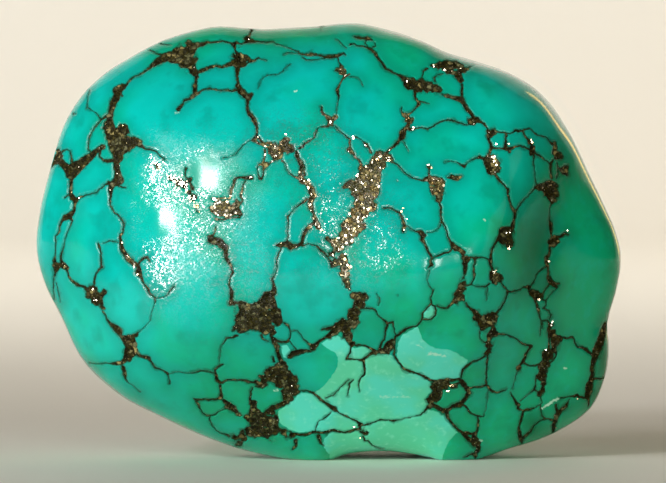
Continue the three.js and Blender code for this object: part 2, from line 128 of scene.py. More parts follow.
# The web of matrix on the front, seam by seam: x, y and full width in pixels
SEAMS = {
    "left end": (
        ((127, 82, 2), (133, 77, 2), (142, 72, 2), (150, 67, 3), (158, 61, 6), (167, 57, 9),
         (178, 56, 14)),
        ((127, 82, 2), (126, 84, 3), (123, 86, 6), (118, 91, 10), (117, 96, 6), (113, 103, 6),
         (111, 110, 6), (110, 117, 6), (108, 124, 10), (110, 132, 12), (115, 140, 16), (118, 148, 16),
         (118, 156, 10), (116, 163, 5), (117, 172, 6), (118, 180, 10), (112, 184, 6), (110, 190, 5),
         (110, 196, 3), (110, 204, 2), (114, 212, 2), (120, 217, 2), (124, 224, 2), (123, 231, 2),
         (120, 236, 3), (121, 243, 4), (122, 250, 4), (127, 257, 5), (133, 263, 4), (138, 266, 4),
         (138, 272, 6), (140, 277, 4), (143, 284, 2), (148, 289, 3), (150, 294, 1.5), (153, 296, 1.5),
         (155, 300, 2.5), (154, 305, 1), (152, 312, 0.8), (151, 320, 0.8), (144, 328, 0.8),
         (138, 333, 1)),
        ((150, 50, 1.5), (156, 53, 1.5), (163, 55, 3)),
        ((160, 43, 1.5), (170, 45, 1)),
        ((125, 147, 10), (132, 144, 8), (137, 142, 7), (141, 146, 4), (145, 148, 2), (150, 149, 2),
         (155, 151, 2), (160, 155, 1.5), (165, 160, 1.5)),
        ((103, 147, 5), (98, 150, 5), (92, 155, 6), (85, 160, 8), (77, 167, 12), (71, 172, 13),
         (66, 167, 8), (62, 163, 7), (57, 159, 8), (54, 162, 6), (50, 166, 4)),
        ((62, 152, 2), (66, 149, 1.5), (70, 151, 1.5), (71, 157, 2), (72, 162, 3)),
        ((100, 152, 3), (99, 157, 2), (104, 161, 3), (109, 161, 4), (113, 160, 4), (116, 163, 4)),
        ((100, 119, 2.5), (104, 117, 3), (108, 115, 4)),
        ((100, 120, 2), (95, 126, 2), (92, 131, 1.5), (89, 137, 2), (88, 143, 1.5), (88, 149, 1.5),
         (91, 153, 2)),
        ((89, 91, 1), (88, 100, 1), (87, 108, 1.5), (91, 110, 1), (97, 114, 1), (100, 118, 2)),
        ((71, 175, 5), (71, 180, 4), (71, 188, 4), (70, 194, 4), (73, 198, 6), (76, 200, 5), (75, 205, 3),
         (74, 211, 4), (70, 215, 6), (66, 217, 6), (62, 221, 3), (59, 227, 2), (59, 232, 2), (56, 236, 2),
         (55, 245, 1.5), (56, 255, 1.5), (55, 261, 4), (56, 267, 6), (55, 275, 2), (54, 283, 1.5),
         (53, 292, 1.2), (54, 300, 1.2)),
        ((57, 283, 1), (61, 302, 1)),
        ((119, 186, 2.5), (125, 188, 1.5)),
        ((70, 194, 2), (64, 197, 2)),
        ((78, 199, 3), (83, 196, 2), (90, 194, 1.5), (97, 192, 1.5), (102, 187, 1.5), (105, 184, 2),
         (108, 183, 4)),
        ((71, 218, 4), (73, 220, 2), (70, 227, 1), (66, 235, 1.2), (64, 244, 1.5), (62, 252, 2),
         (61, 260, 3), (63, 267, 5)),
        ((66, 269, 3), (69, 275, 2), (72, 280, 3), (76, 284, 3), (80, 286, 3), (85, 287, 3)),
        ((103, 312, 2), (106, 318, 2), (110, 323, 3), (115, 328, 5), (119, 331, 6), (121, 336, 4),
         (125, 340, 5)),
        ((94, 284, 3), (94, 280, 3), (96, 274, 2), (98, 271, 3), (102, 267, 3), (101, 260, 2),
         (101, 253, 1.5), (99, 246, 3), (98, 243, 2)),
        ((103, 243, 1), (110, 241, 1.5), (117, 242, 1.5)),
        ((125, 337, 4), (131, 337, 4), (136, 336, 4), (138, 332, 2)),
        ((127, 358, 5), (123, 363, 5), (118, 364, 4), (114, 364, 3), (108, 364, 1.2), (90, 364, 0.8)),
        ((123, 368, 4), (124, 374, 4), (125, 378, 3), (128, 382, 1), (135, 387, 0.8), (140, 392, 0.8)),
        ((137, 353, 4), (142, 356, 3), (148, 358, 4), (151, 363, 2.5), (155, 368, 2), (162, 371, 2),
         (168, 374, 3), (169, 378, 1.5), (170, 384, 2)),
        ((138, 264, 3), (142, 259, 3), (147, 257, 3), (149, 262, 2)),
        ((150, 294, 2), (156, 298, 1.5), (163, 297, 1), (168, 294, 1.5), (171, 289, 2.5), (173, 286, 2)),
    ),
    "upper left": (
        ((193, 45, 6), (198, 45, 5), (203, 44, 4), (208, 42, 3), (216, 42, 2.5), (224, 42, 2),
         (231, 43, 2.5), (234, 45, 5), (236, 43, 4), (242, 45, 1.5), (246, 42, 3), (249, 40, 6),
         (252, 41, 5), (256, 42, 3), (262, 42, 2), (268, 42, 1.5), (273, 42, 1.5), (277, 44, 1),
         (285, 46, 1), (292, 49, 1.2), (297, 51, 1.5), (301, 53, 2), (306, 54, 3), (312, 53, 4),
         (318, 55, 2.5), (325, 56, 3), (332, 56, 4), (338, 55, 4), (343, 53, 2), (346, 55, 1)),
        ((303, 57, 1.5), (307, 60, 1.5), (318, 60, 1), (325, 58, 1.5)),
        ((247, 38, 5), (250, 34, 2), (252, 29, 3)),
        ((234, 45, 5), (235, 50, 2), (238, 54, 4)),
        ((198, 72, 4), (203, 70, 4), (209, 68, 4), (215, 66, 3), (221, 67, 3), (227, 65, 4),
         (233, 63, 6)),
        ((245, 57, 5), (250, 60, 4), (254, 60, 3), (258, 58, 2), (261, 59, 1.2), (267, 61, 1)),
        ((243, 66, 3), (247, 63, 2), (250, 60, 2)),
        ((238, 69, 5), (237, 75, 3), (238, 81, 3), (238, 86, 5), (241, 91, 6), (245, 95, 6), (248, 97, 7),
         (251, 94, 4)),
        ((247, 100, 3), (247, 106, 3), (248, 111, 4), (251, 115, 4), (253, 119, 5), (256, 124, 4),
         (257, 130, 2.5), (257, 135, 3), (255, 139, 4), (252, 140, 2)),
        ((236, 90, 3), (231, 91, 2.5), (225, 90, 1.5), (218, 89, 2), (210, 88, 2), (204, 89, 2),
         (199, 92, 3), (195, 94, 4)),
        ((196, 75, 4), (197, 77, 4), (196, 82, 3), (195, 87, 4), (195, 92, 4), (193, 96, 4),
         (190, 99, 3.5), (185, 100, 3), (183, 103, 2), (181, 107, 4), (179, 109, 5)),
        ((284, 54, 1), (290, 52.5, 1.2), (297, 52.5, 1.5), (302, 54, 2)),
        ((290, 64, 1), (283, 70, 1), (278, 74, 1), (268, 75, 1), (262, 79, 1), (257, 88, 1)),
    ),
    "middle": (
        ((257, 135, 3), (260, 139, 3), (264, 143, 3), (270, 143, 3), (273, 145, 4)),
        ((252, 140.5, 2.5), (257, 142, 3), (262, 144, 3), (266, 146, 3)),
        ((296, 153, 4), (299, 161, 4), (302, 167, 4), (301, 174, 4), (302, 180, 6), (307, 183, 5),
         (311, 189, 6), (313, 195, 6), (310, 202, 5), (311, 208, 5), (314, 214, 3), (314, 218, 4),
         (316, 223, 6), (319, 228, 5)),
        ((301, 160, 2), (305, 168, 2), (305, 175, 3)),
        ((299, 149, 3), (303, 147, 3), (307, 142, 2.5), (312, 139, 1.5), (315, 136, 2), (317, 131, 2),
         (318, 128, 1.5), (322, 127, 2), (327, 126, 3), (330, 122, 5), (330, 119, 5), (326, 115, 3),
         (323, 112, 3), (321, 107, 2.5)),
        ((265, 150, 3), (265, 156, 2.5), (263, 161, 2.5), (260, 164, 2.5), (265, 164, 6), (263, 169, 3),
         (263, 174, 2), (262, 178, 3), (259, 178, 3), (258, 175, 1.5), (257, 168, 1.2), (259, 164, 2)),
        ((266, 165, 2), (270, 163, 2), (274, 160, 2)),
        ((250, 141, 1), (244, 145, 1), (240, 149, 1.2), (235, 154, 1), (228, 157, 1), (222, 158, 1)),
        ((282, 161, 1.5), (284, 163, 1.5), (287, 168, 1), (291, 174, 1.5), (296, 177, 2), (299, 178, 3)),
        ((250, 177, 5), (246, 178, 4), (241, 177, 2.5), (237, 177, 2.5), (234, 180, 3), (233, 185, 3),
         (231, 189, 3), (230, 194, 3), (229, 198, 3)),
        ((246, 181, 2), (244, 184, 1.5), (242, 190, 3), (241, 196, 3), (243, 200, 2), (240, 204, 3)),
        ((211, 199, 2), (229, 198, 2)),
        ((215, 218, 2), (222, 220, 2), (230, 218, 2), (240, 218, 2)),
        ((216, 226, 2), (215, 232, 2), (213, 236, 3), (208, 236, 3), (210, 240, 6), (215, 241, 8),
         (220, 243, 7), (225, 247, 6), (226, 251, 4), (226, 257, 4), (228, 261, 4), (231, 266, 3),
         (232, 272, 3), (230, 279, 2), (229, 285, 2), (231, 291, 4), (231, 297, 4), (231, 303, 5)),
        ((187, 168, 3), (185, 175, 1.5), (190, 183, 2.5), (193, 189, 4)),
        ((276, 246, 3), (281, 245, 5), (287, 244, 6), (291, 247, 5), (297, 246, 4), (302, 243, 4),
         (303, 237, 4), (305, 231, 4), (309, 226, 4), (313, 222, 3), (316, 222, 5)),
        ((287, 240, 2), (288, 230, 1.5), (289, 222, 1.5), (288, 216, 3), (290, 214, 1.5), (294, 209, 1),
         (299, 205, 2), (303, 202, 3), (307, 199, 3)),
        ((281, 249, 2), (279, 254, 2), (277, 260, 2), (277, 267, 1.5), (275, 273, 1.5), (272, 279, 2.5),
         (273, 284, 3), (274, 288, 4), (274, 293, 5)),
        ((303, 246, 2), (309, 244, 1.5), (316, 246, 2), (321, 251, 3), (325, 253, 2.5), (329, 258, 2),
         (332, 262, 4)),
        ((383, 208, 1.5), (389, 208, 2), (395, 211, 2), (400, 213, 2.5), (402, 217, 3), (403, 222, 3),
         (404, 227, 4), (403, 231, 3)),
        ((391, 162, 2), (397, 165, 1.5), (402, 169, 1.5), (407, 174, 1.5), (413, 178, 1.5), (419, 179, 2),
         (423, 180, 3), (428, 178, 5), (434, 179, 5), (440, 180, 4), (443, 182, 4)),
        ((429, 176, 2), (429, 170, 2), (428, 166, 2.5), (430, 167, 3)),
        ((440, 203, 2), (441, 208, 2.5), (441, 215, 2.5), (442, 222, 2.5), (445, 227, 2), (447, 233, 2),
         (450, 240, 2.5), (453, 245, 4), (458, 248, 4)),
        ((442, 222, 1.5), (439, 225, 1.5), (437, 229, 1), (432, 232, 1), (426, 233, 1)),
        ((447, 178, 2), (452, 177, 5), (457, 178, 5), (461, 176, 3)),
        ((445, 162, 1), (450, 161, 1), (456, 162, 1), (460, 164, 2), (464, 166, 4), (467, 163, 1.5),
         (471, 160, 1), (476, 158, 2), (480, 157, 4)),
        ((405, 225, 1), (410, 229, 1), (415, 231, 1.5), (420, 232, 5), (423, 236, 5), (422, 240, 4),
         (425, 244, 3), (427, 248, 3), (430, 253, 3), (433, 258, 2.5), (430, 260, 2), (432, 265, 4),
         (428, 268, 1)),
        ((434, 256, 2), (438, 256, 2), (443, 253, 2.5), (448, 252, 2.5), (451, 250, 2), (454, 246, 3)),
        ((430, 270, 1), (428, 280, 1), (429, 287, 1), (432, 291, 1)),
        ((350, 290, 3), (347, 283, 3)),
    ),
    "upper right": (
        ((338, 57, 2), (339, 62, 1.5), (341, 67, 4)),
        ((349, 74, 2), (342, 79, 2), (340, 84, 2), (338, 90, 4), (339, 95, 2.5), (338, 100, 1.5),
         (337, 107, 1), (336, 114, 1)),
        ((349, 77, 1), (355, 77, 1), (360, 80, 1), (363, 85, 1)),
        ((335, 126, 1.5), (340, 130, 1.5), (345, 134, 1.5), (350, 139, 2), (350, 146, 2), (349, 150, 5),
         (352, 153, 4), (355, 158, 2), (359, 160, 2.5), (361, 164, 3), (360, 168, 4)),
        ((355, 137, 2), (360, 139, 1), (363, 141, 1), (366, 145, 4), (369, 148, 2), (371, 152, 3)),
        ((354, 36, 2), (358, 37, 3), (362, 38, 2), (367, 38, 3.5), (372, 39, 2)),
        ((366, 40, 1.5), (365, 44, 1.2), (367, 48, 1.5), (371, 49, 2), (375, 46, 1.2), (375, 42, 1)),
        ((350, 44, 2), (354, 44, 2), (358, 46, 1.5), (363, 47, 2), (368, 49, 2), (372, 51, 3),
         (376, 54, 3), (379, 58, 3), (382, 63, 3), (385, 68, 3), (390, 70, 2.5), (395, 73, 2),
         (400, 76, 3), (404, 79, 5)),
        ((346, 48, 1), (336, 39, 1)),
        ((445, 95, 4), (451, 97, 4), (456, 99, 5), (461, 99, 6), (464, 103, 4), (467, 108, 4),
         (470, 112, 4), (473, 117, 3.5), (476, 120, 6), (481, 122, 3), (484, 124, 2.5), (487, 128, 2),
         (489, 131, 4)),
        ((435, 81, 2), (434, 77, 2), (438, 74, 1.5), (443, 73, 1.5)),
        ((422, 78, 1.5), (424, 71, 2), (428, 68, 2.5)),
        ((462, 85, 3), (462, 90, 3), (461, 95, 3)),
        ((468, 68, 2), (472, 66, 1)),
        ((415, 92, 3), (415, 97, 2.5), (418, 101, 3), (419, 104, 4), (416, 108, 2), (411, 112, 2),
         (407, 114, 3)),
        ((420, 101, 2), (426, 103, 1.5), (430, 104, 1)),
        ((402, 106, 1), (402, 111, 1.5), (404, 115, 3)),
        ((409, 123, 4), (408, 127, 4), (405, 130, 5), (403, 133, 7), (402, 137, 6), (400, 140, 3),
         (397, 143, 3.5), (393, 147, 3), (389, 150, 3), (386, 153, 4)),
        ((410, 129, 4), (413, 129, 3), (417, 128, 2), (422, 127, 1.5), (428, 129, 2), (434, 126, 2),
         (440, 122, 2), (447, 120, 2), (453, 120, 2), (459, 122, 2), (465, 124, 1.5), (470, 124, 1.5),
         (473, 123, 4)),
        ((404, 142, 1.2), (406, 147, 1.2), (408, 151, 0.8)),
    ),
    "lower left": (
        ((237, 336, 3), (232, 338, 2.5), (227, 338, 2), (224, 342, 1.5), (221, 346, 1), (220, 350, 0.8)),
        ((262, 335, 3), (263, 339, 2), (268, 341, 1)),
        ((271, 335, 3), (273, 341, 4), (277, 347, 5), (278, 352, 4), (279, 357, 4), (281, 361, 5)),
        ((287, 402, 5), (281, 405, 5), (274, 408, 5), (268, 412, 5)),
        ((322, 330, 2), (327, 329, 3), (332, 328, 4)),
        ((284, 323, 2.5), (288, 326, 2.5), (290, 331, 1.5), (290, 337, 1.5), (288, 341, 3), (282, 342, 3),
         (276, 341, 3), (272, 337, 2)),
        ((290, 331, 1), (297, 331, 1), (301, 334, 1.5), (304, 339, 1.5), (308, 343, 2), (311, 346, 4),
         (313, 348, 6), (317, 344, 4), (321, 341, 3), (325, 338, 3), (330, 335, 5), (334, 332, 6)),
        ((310, 351, 3), (305, 351, 3), (299, 352, 5), (294, 353, 6), (290, 357, 4)),
        ((290, 341, 1.5), (293, 346, 1), (297, 350, 2)),
        ((273, 357, 2), (274, 362, 3)),
        ((257, 383, 3), (251, 382, 3), (245, 381, 2.5), (238, 380, 2), (232, 380, 2.5), (227, 380, 2.5),
         (221, 383, 3), (217, 380, 4), (215, 374, 3), (215, 370, 2), (218, 367, 2), (223, 365, 2)),
        ((213, 373, 2), (207, 371, 1.5), (202, 371, 2), (185, 373, 1), (176, 372, 0.7), (168, 374, 0.8)),
        ((220, 350, 0.8), (219, 358, 0.7), (220, 366, 1)),
        ((220, 386, 3), (221, 392, 3), (221, 398, 4), (216, 399, 2.5), (210, 400, 2.5), (203, 400, 2.5),
         (197, 400, 3), (194, 398, 2)),
        ((198, 404, 3), (199, 409, 2), (202, 413, 1.5), (207, 416, 2), (211, 416, 1.5), (216, 414, 1.5),
         (222, 411, 1.2), (229, 408, 2)),
        ((194, 398, 2), (196, 401, 2), (198, 404, 3)),
        ((210, 417, 1.5), (210, 420, 2), (212, 425, 1.5), (216, 430, 1.2), (222, 434, 1.5),
         (229, 437, 2.5)),
        ((224, 401, 4), (229, 405, 5), (233, 408, 6)),
        ((252, 388, 1.5), (251, 393, 2), (250, 399, 3), (251, 403, 4)),
        ((255, 387, 2), (262, 388, 2)),
        ((291, 434, 3), (299, 435, 3), (306, 435, 3), (313, 433, 3), (320, 433, 3), (326, 432, 3),
         (332, 431, 3)),
        ((296, 441, 4), (296, 447, 3), (292, 450, 2)),
        ((318, 437, 4), (320, 442, 3), (325, 447, 1)),
        ((300, 390, 1.5), (308, 391, 2), (314, 394, 2.5), (320, 399, 3), (326, 403, 3), (331, 408, 3.5),
         (336, 411, 3)),
        ((331, 412, 1.5), (326, 417, 2), (320, 420, 1), (317, 425, 1.5), (315, 431, 1.5)),
    ),
    "lower middle": (
        ((470, 257, 2), (475, 257, 3), (475, 262, 2), (474, 267, 2), (474, 274, 3), (473, 280, 2),
         (471, 285, 2), (466, 286, 2)),
        ((454, 301, 4), (451, 304, 2.5), (447, 308, 2), (442, 308, 2), (437, 306, 2)),
        ((466, 303, 2), (470, 307, 2.5), (474, 311, 4), (477, 315, 6), (480, 319, 7), (482, 323, 6)),
        ((353, 345, 3), (357, 346, 2.5), (362, 345, 2), (366, 346, 2.5), (371, 349, 2.5), (374, 351, 4)),
        ((396, 337, 3), (400, 334, 3), (404, 331, 3), (408, 328, 2.5), (413, 326, 1.5), (417, 325, 2),
         (420, 322, 2), (422, 318, 2), (422, 313, 2), (425, 309, 2), (428, 306, 2), (431, 304, 2.5),
         (431, 299, 2), (433, 293, 2), (433, 290, 1.5)),
        ((431, 305, 2), (435, 307, 2), (436, 311, 2.5), (435, 316, 2), (431, 320, 2), (426, 320, 2),
         (422, 320, 2)),
        ((357, 310, 2), (366, 308, 1.5), (371, 308, 2.5), (375, 310, 2), (378, 315, 1.5), (382, 319, 2),
         (386, 322, 3), (388, 325, 3), (386, 331, 2.5), (384, 339, 2), (381, 345, 2.5), (379, 350, 3)),
        ((376, 294, 1), (380, 299, 1.2), (378, 305, 1.5)),
        ((388, 323, 2.5), (393, 322, 2.5), (394, 328, 1.5), (395, 334, 1.5)),
        ((396, 338, 2), (395, 345, 2), (394, 352, 2), (394, 356, 2.5), (397, 360, 2.5), (400, 364, 2.5),
         (403, 369, 2.5), (408, 371, 3), (414, 372, 2.5), (420, 374, 2.5), (425, 378, 3.5), (430, 380, 3),
         (434, 381, 3)),
        ((351, 348, 2.5), (350, 353, 2.5), (347, 359, 3), (352, 360, 2), (358, 360, 1.5), (363, 361, 3.5),
         (367, 358, 3), (371, 355, 3), (375, 353, 4)),
        ((364, 362, 3.5), (364, 368, 2.5), (364, 374, 2.5), (361, 378, 2), (359, 381, 2), (359, 386, 1.2),
         (359, 392, 1)),
        ((353, 380, 1.5), (349, 384, 2), (349, 390, 2), (348, 396, 1)),
        ((326, 398, 1.5), (333, 395, 1.5), (339, 390, 1.5), (345, 384, 1.5), (349, 380, 1.2)),
        ((326, 403, 3), (330, 406, 3.5), (334, 409, 5), (338, 412, 2), (343, 415, 2), (348, 418, 2),
         (353, 420, 2), (357, 422, 2.5), (361, 425, 4)),
        ((363, 437, 2.5), (364, 441, 2.5), (368, 441, 2), (372, 445, 1.5), (377, 448, 1),
         (384, 450, 0.8)),
        ((364, 425, 2.5), (368, 424, 2.5), (374, 422, 1.5), (381, 420, 2), (388, 420, 1.5),
         (394, 421, 2.5), (400, 420, 1), (406, 418, 1), (413, 417, 1), (420, 416, 1.5), (424, 412, 2),
         (427, 408, 3), (431, 406, 5)),
        ((361, 429, 3), (356, 430, 3), (351, 432, 2.5), (345, 433, 2.5), (339, 432, 3), (333, 431, 3),
         (326, 434, 1)),
        ((436, 381, 3), (442, 381, 4), (448, 380, 4), (454, 380, 3), (459, 380, 3), (462, 383, 5),
         (466, 387, 4)),
        ((461, 378, 2), (462, 373, 2.5), (464, 369, 3), (468, 366, 3), (473, 362, 2), (478, 360, 2),
         (482, 358, 2), (485, 356, 2.5)),
        ((466, 387, 3.5), (470, 388, 2.5), (476, 387, 2.5), (482, 386, 2.5), (486, 385, 3)),
        ((467, 389, 4), (469, 393, 4), (466, 398, 4), (463, 402, 4), (460, 405, 5), (454, 406, 4),
         (450, 408, 3.5), (447, 411, 4), (443, 411, 4), (438, 408, 4), (434, 406, 5)),
        ((462, 404, 2.5), (466, 407, 2.5), (469, 411, 2.5), (473, 414, 2), (478, 416, 2.5),
         (482, 417, 2)),
        ((447, 412, 4), (448, 417, 3.5), (451, 421, 3), (454, 425, 3), (457, 429, 3), (461, 433, 3.5),
         (465, 436, 4), (468, 439, 4), (472, 442, 5), (477, 444, 5), (478, 449, 5), (476, 454, 4),
         (470, 455, 2), (465, 457, 1.5)),
        ((478, 417, 2), (479, 424, 2.5), (478, 430, 2.5), (476, 434, 4), (471, 434, 3), (466, 434, 4)),
    ),
    "right end": (
        ((489, 131, 3), (495, 131, 3), (500, 132, 2), (505, 132, 2.5), (510, 133, 1.5), (514, 132, 2),
         (516, 130, 3), (519, 131, 3), (522, 131, 2.5), (525, 129.5, 2), (529, 128, 2), (532, 130, 1.5),
         (535, 133, 2), (538, 135, 1.5), (542, 136.5, 1.5), (546, 138, 1.5), (549, 142, 2), (552, 144, 3),
         (555, 143, 3), (555, 148, 4), (555, 153, 5), (558, 154, 6), (561, 157, 4), (556, 158, 4)),
        ((488, 135, 4), (489, 140, 3), (491, 144, 3), (492, 148, 4), (490, 152, 3), (488, 156, 3),
         (485, 159, 4), (481, 157.5, 3), (478, 158, 2)),
        ((507, 134, 3), (506, 138, 2), (506, 143, 3), (506, 147, 4)),
        ((493, 148, 3), (498, 148.5, 2), (503, 148, 2.5), (508, 149, 4), (513, 148, 3), (517, 146, 2.5),
         (520, 145, 2), (524, 148, 2), (528, 149.5, 2.5), (532, 151, 3)),
        ((522, 131, 2), (524, 133, 2), (526, 137, 2.5), (529, 140, 4), (531, 144, 3), (532, 148, 4),
         (533, 151, 4), (537, 154, 2.5), (541, 157, 2), (544, 160, 1.5), (548, 162, 1.5), (551, 164, 2)),
        ((533, 152, 3), (534, 156, 2.5), (533, 162, 1.5), (534, 170, 1.2), (536, 178, 1.2),
         (537, 184, 2)),
        ((553, 160, 2.5), (551, 163, 3), (551, 168, 2.5), (551, 173, 2.5), (552, 178, 3)),
        ((557, 163, 1.5), (558, 166, 2), (560, 168, 3), (563, 170, 6), (565, 173, 6), (567, 176, 3)),
        ((558, 168, 1.5), (558, 173, 1.5), (556, 178, 2)),
        ((538, 186, 3), (534, 190, 1.5), (530, 194, 1.2), (525, 199, 1.2), (521, 204, 1.5),
         (518, 208, 1.5), (515, 212, 3)),
        ((495, 174, 3), (498, 178, 3), (501, 182, 2.5), (505, 186, 2), (508, 189, 3), (508, 194, 2.5),
         (509, 200, 2.5), (511, 205, 2.5), (513, 209, 3), (515, 212, 3.5), (515, 217, 3), (514, 222, 3),
         (513, 227, 4), (511, 231, 5)),
        ((500, 236, 4), (497, 240, 3), (494, 245, 2.5), (492, 250, 2.5), (491, 255, 3), (490, 260, 4),
         (491, 265, 3), (493, 270, 3)),
        ((500, 281, 2.5), (502, 284, 2), (505, 288, 2), (508, 291, 2.5), (512, 292, 2), (516, 291, 2),
         (520, 290, 1.5), (522, 288, 1), (523, 286, 2), (526, 287, 3), (529, 287, 4)),
        ((508, 291, 3), (507, 296, 2), (505, 301, 2), (503, 305, 2), (500, 309, 2), (497, 313, 3),
         (495, 316, 4)),
        ((490, 284, 2.5), (486, 287, 2), (481, 287, 1.5), (474, 286, 1), (468, 285, 1.5)),
        ((488, 288, 1.2), (487, 294, 1.2), (486, 300, 1)),
        ((474, 258, 3), (478, 257, 2), (482, 257, 1.5), (486, 258, 1.5), (489, 260, 2)),
        ((478, 320, 2), (480, 325, 2), (481, 328, 2), (480, 330, 1.5), (480, 338, 1.2), (483, 342, 1.5),
         (487, 343, 2.5)),
        ((497, 334, 3), (502, 334, 2), (506, 334, 1.5), (510, 336, 2), (514, 338, 1.5), (518, 340, 2),
         (522, 343, 2.5), (526, 345, 2.5), (530, 346, 3)),
        ((488, 354, 3), (488, 358, 2.5), (487, 363, 2.5), (487, 368, 2), (486, 374, 2), (486, 380, 2),
         (486, 385, 2.5), (489, 388, 3), (492, 391, 3), (496, 392, 2), (500, 391.5, 2), (504, 390, 1.5),
         (507, 389, 1)),
        ((510, 393, 1.2), (513, 397, 2), (515, 400, 2.5), (517, 404, 4), (520, 405, 3), (518, 408, 3),
         (520, 410, 2)),
        ((518, 369, 4), (520, 366, 3), (523, 362, 4), (525, 358, 3), (526, 354, 3), (528, 350, 2.5),
         (530, 346, 3)),
        ((518, 371, 1.5), (515, 380, 0.8), (512, 389, 1.2)),
        ((488, 390, 1), (487, 400, 0.7), (486, 410, 0.7), (484, 417, 1.2)),
        ((523, 363, 3), (527, 365, 2), (531, 366, 2), (535, 366, 2), (540, 365, 3), (545, 365, 5)),
        ((536, 377, 2), (535, 383, 1.5), (534, 389, 2.5), (537, 392, 1.5), (540, 393, 2)),
        ((534, 389, 2), (529, 394, 1), (524, 398, 1), (521, 401, 1.5)),
        ((520, 408, 2), (524, 411, 2), (528, 410, 3), (531, 410, 2.5), (535, 408, 1.5), (539, 405, 1),
         (542, 402, 1), (541, 396, 2)),
        ((524, 411, 2), (523, 413, 2.5), (521, 418, 3), (520, 424, 2.5), (519, 430, 3), (520, 435, 4),
         (521, 440, 4), (522, 444, 2)),
        ((541, 405, 1.5), (541, 411, 1.5), (542, 416, 1.5), (545, 419, 2.5), (549, 419, 1.5),
         (552, 420, 3)),
        ((544, 419, 2), (540, 421, 1.5), (536, 424, 1.5), (533, 428, 2), (531, 432, 2.5), (527, 435, 3),
         (523, 438, 3)),
        ((588, 398, 3), (584, 398, 2.5), (580, 397, 3), (577, 395, 3.5), (574, 396, 3), (570, 396, 1.5),
         (565, 397, 1.5), (560, 398, 2)),
        ((570, 399, 1), (568, 402, 1.5), (566, 406, 3), (562, 410, 3.5), (559, 413, 4.5), (557, 417, 5),
         (556, 421, 4.5), (554, 426, 4), (554, 432, 3.5)),
        ((556, 405, 3), (557, 409, 3), (558, 413, 4)),
        ((588, 398, 3), (588, 402, 2.5), (588, 406, 2)),
        ((606, 324, 4), (604, 332, 6), (602, 338, 7), (600, 345, 8), (597, 352, 8), (596, 357, 7),
         (594, 363, 5), (593, 369, 4), (592, 375, 4), (591, 380, 6), (590, 385, 8), (589, 391, 7),
         (587, 398, 4)),
        ((591, 380, 4), (594, 379, 3), (600, 378, 2), (604, 378, 2)),
        ((560, 337, 3), (564, 338, 2.5), (569, 339, 2.5), (572, 337.5, 3), (575, 340, 2), (576, 344, 2),
         (579, 347, 2.5), (583, 348, 3), (587, 350, 4), (590, 353, 3), (593, 355, 3)),
        ((556, 352, 2.5), (556, 356, 2), (554, 359, 2), (550, 362, 2), (548, 366, 2), (546, 371, 2),
         (545, 377, 1.5)),
        ((549, 350, 3), (549, 345, 2.5), (549, 340, 2), (549, 335, 2.5), (549, 329, 2), (550, 324, 2.5),
         (547, 321, 2), (543, 321, 1.5), (542, 325, 1.5), (543, 328, 1)),
        ((529, 287, 4), (530, 291, 2.5), (532, 294, 2.5), (535, 298, 3), (538, 305, 2.5), (539, 310, 3),
         (540, 315, 2), (541, 320, 1.5), (541, 325, 1.5), (540, 330, 1), (540, 336, 1)),
        ((542, 300, 1.5), (546, 300, 2), (546, 305, 1.5), (543, 308, 2), (549, 310, 1.5), (551, 315, 1.5),
         (549, 320, 1.5)),
        ((550, 220, 2), (551, 225, 4), (551, 230, 4), (551, 234, 2.5), (552, 238, 3), (551, 244, 3),
         (550, 250, 3), (549, 255, 3.5), (547, 258, 4), (547, 263, 4), (548, 268, 3), (549, 273, 3),
         (548, 278, 3), (549, 282, 4), (553, 284, 5), (556, 286, 4)),
        ((549, 275, 2), (552, 280, 2.5), (555, 283, 3), (559, 283, 2)),
        ((553, 203, 2), (550, 208, 1), (550, 215, 1), (550, 222, 2)),
        ((555, 236, 3), (560, 237, 3), (563, 235, 3), (566, 234, 3), (569, 235, 2)),
        ((546, 266, 2), (542, 269, 2), (539, 272, 1.5), (536, 276, 1.5), (534, 282, 1.5), (531, 288, 2)),
        ((549, 285, 2), (546, 289, 1.5), (544, 294, 2), (542, 298, 2)),
        ((556, 288, 1.2), (553, 292, 1), (549, 297, 1), (546, 300, 1.5)),
    ),
}

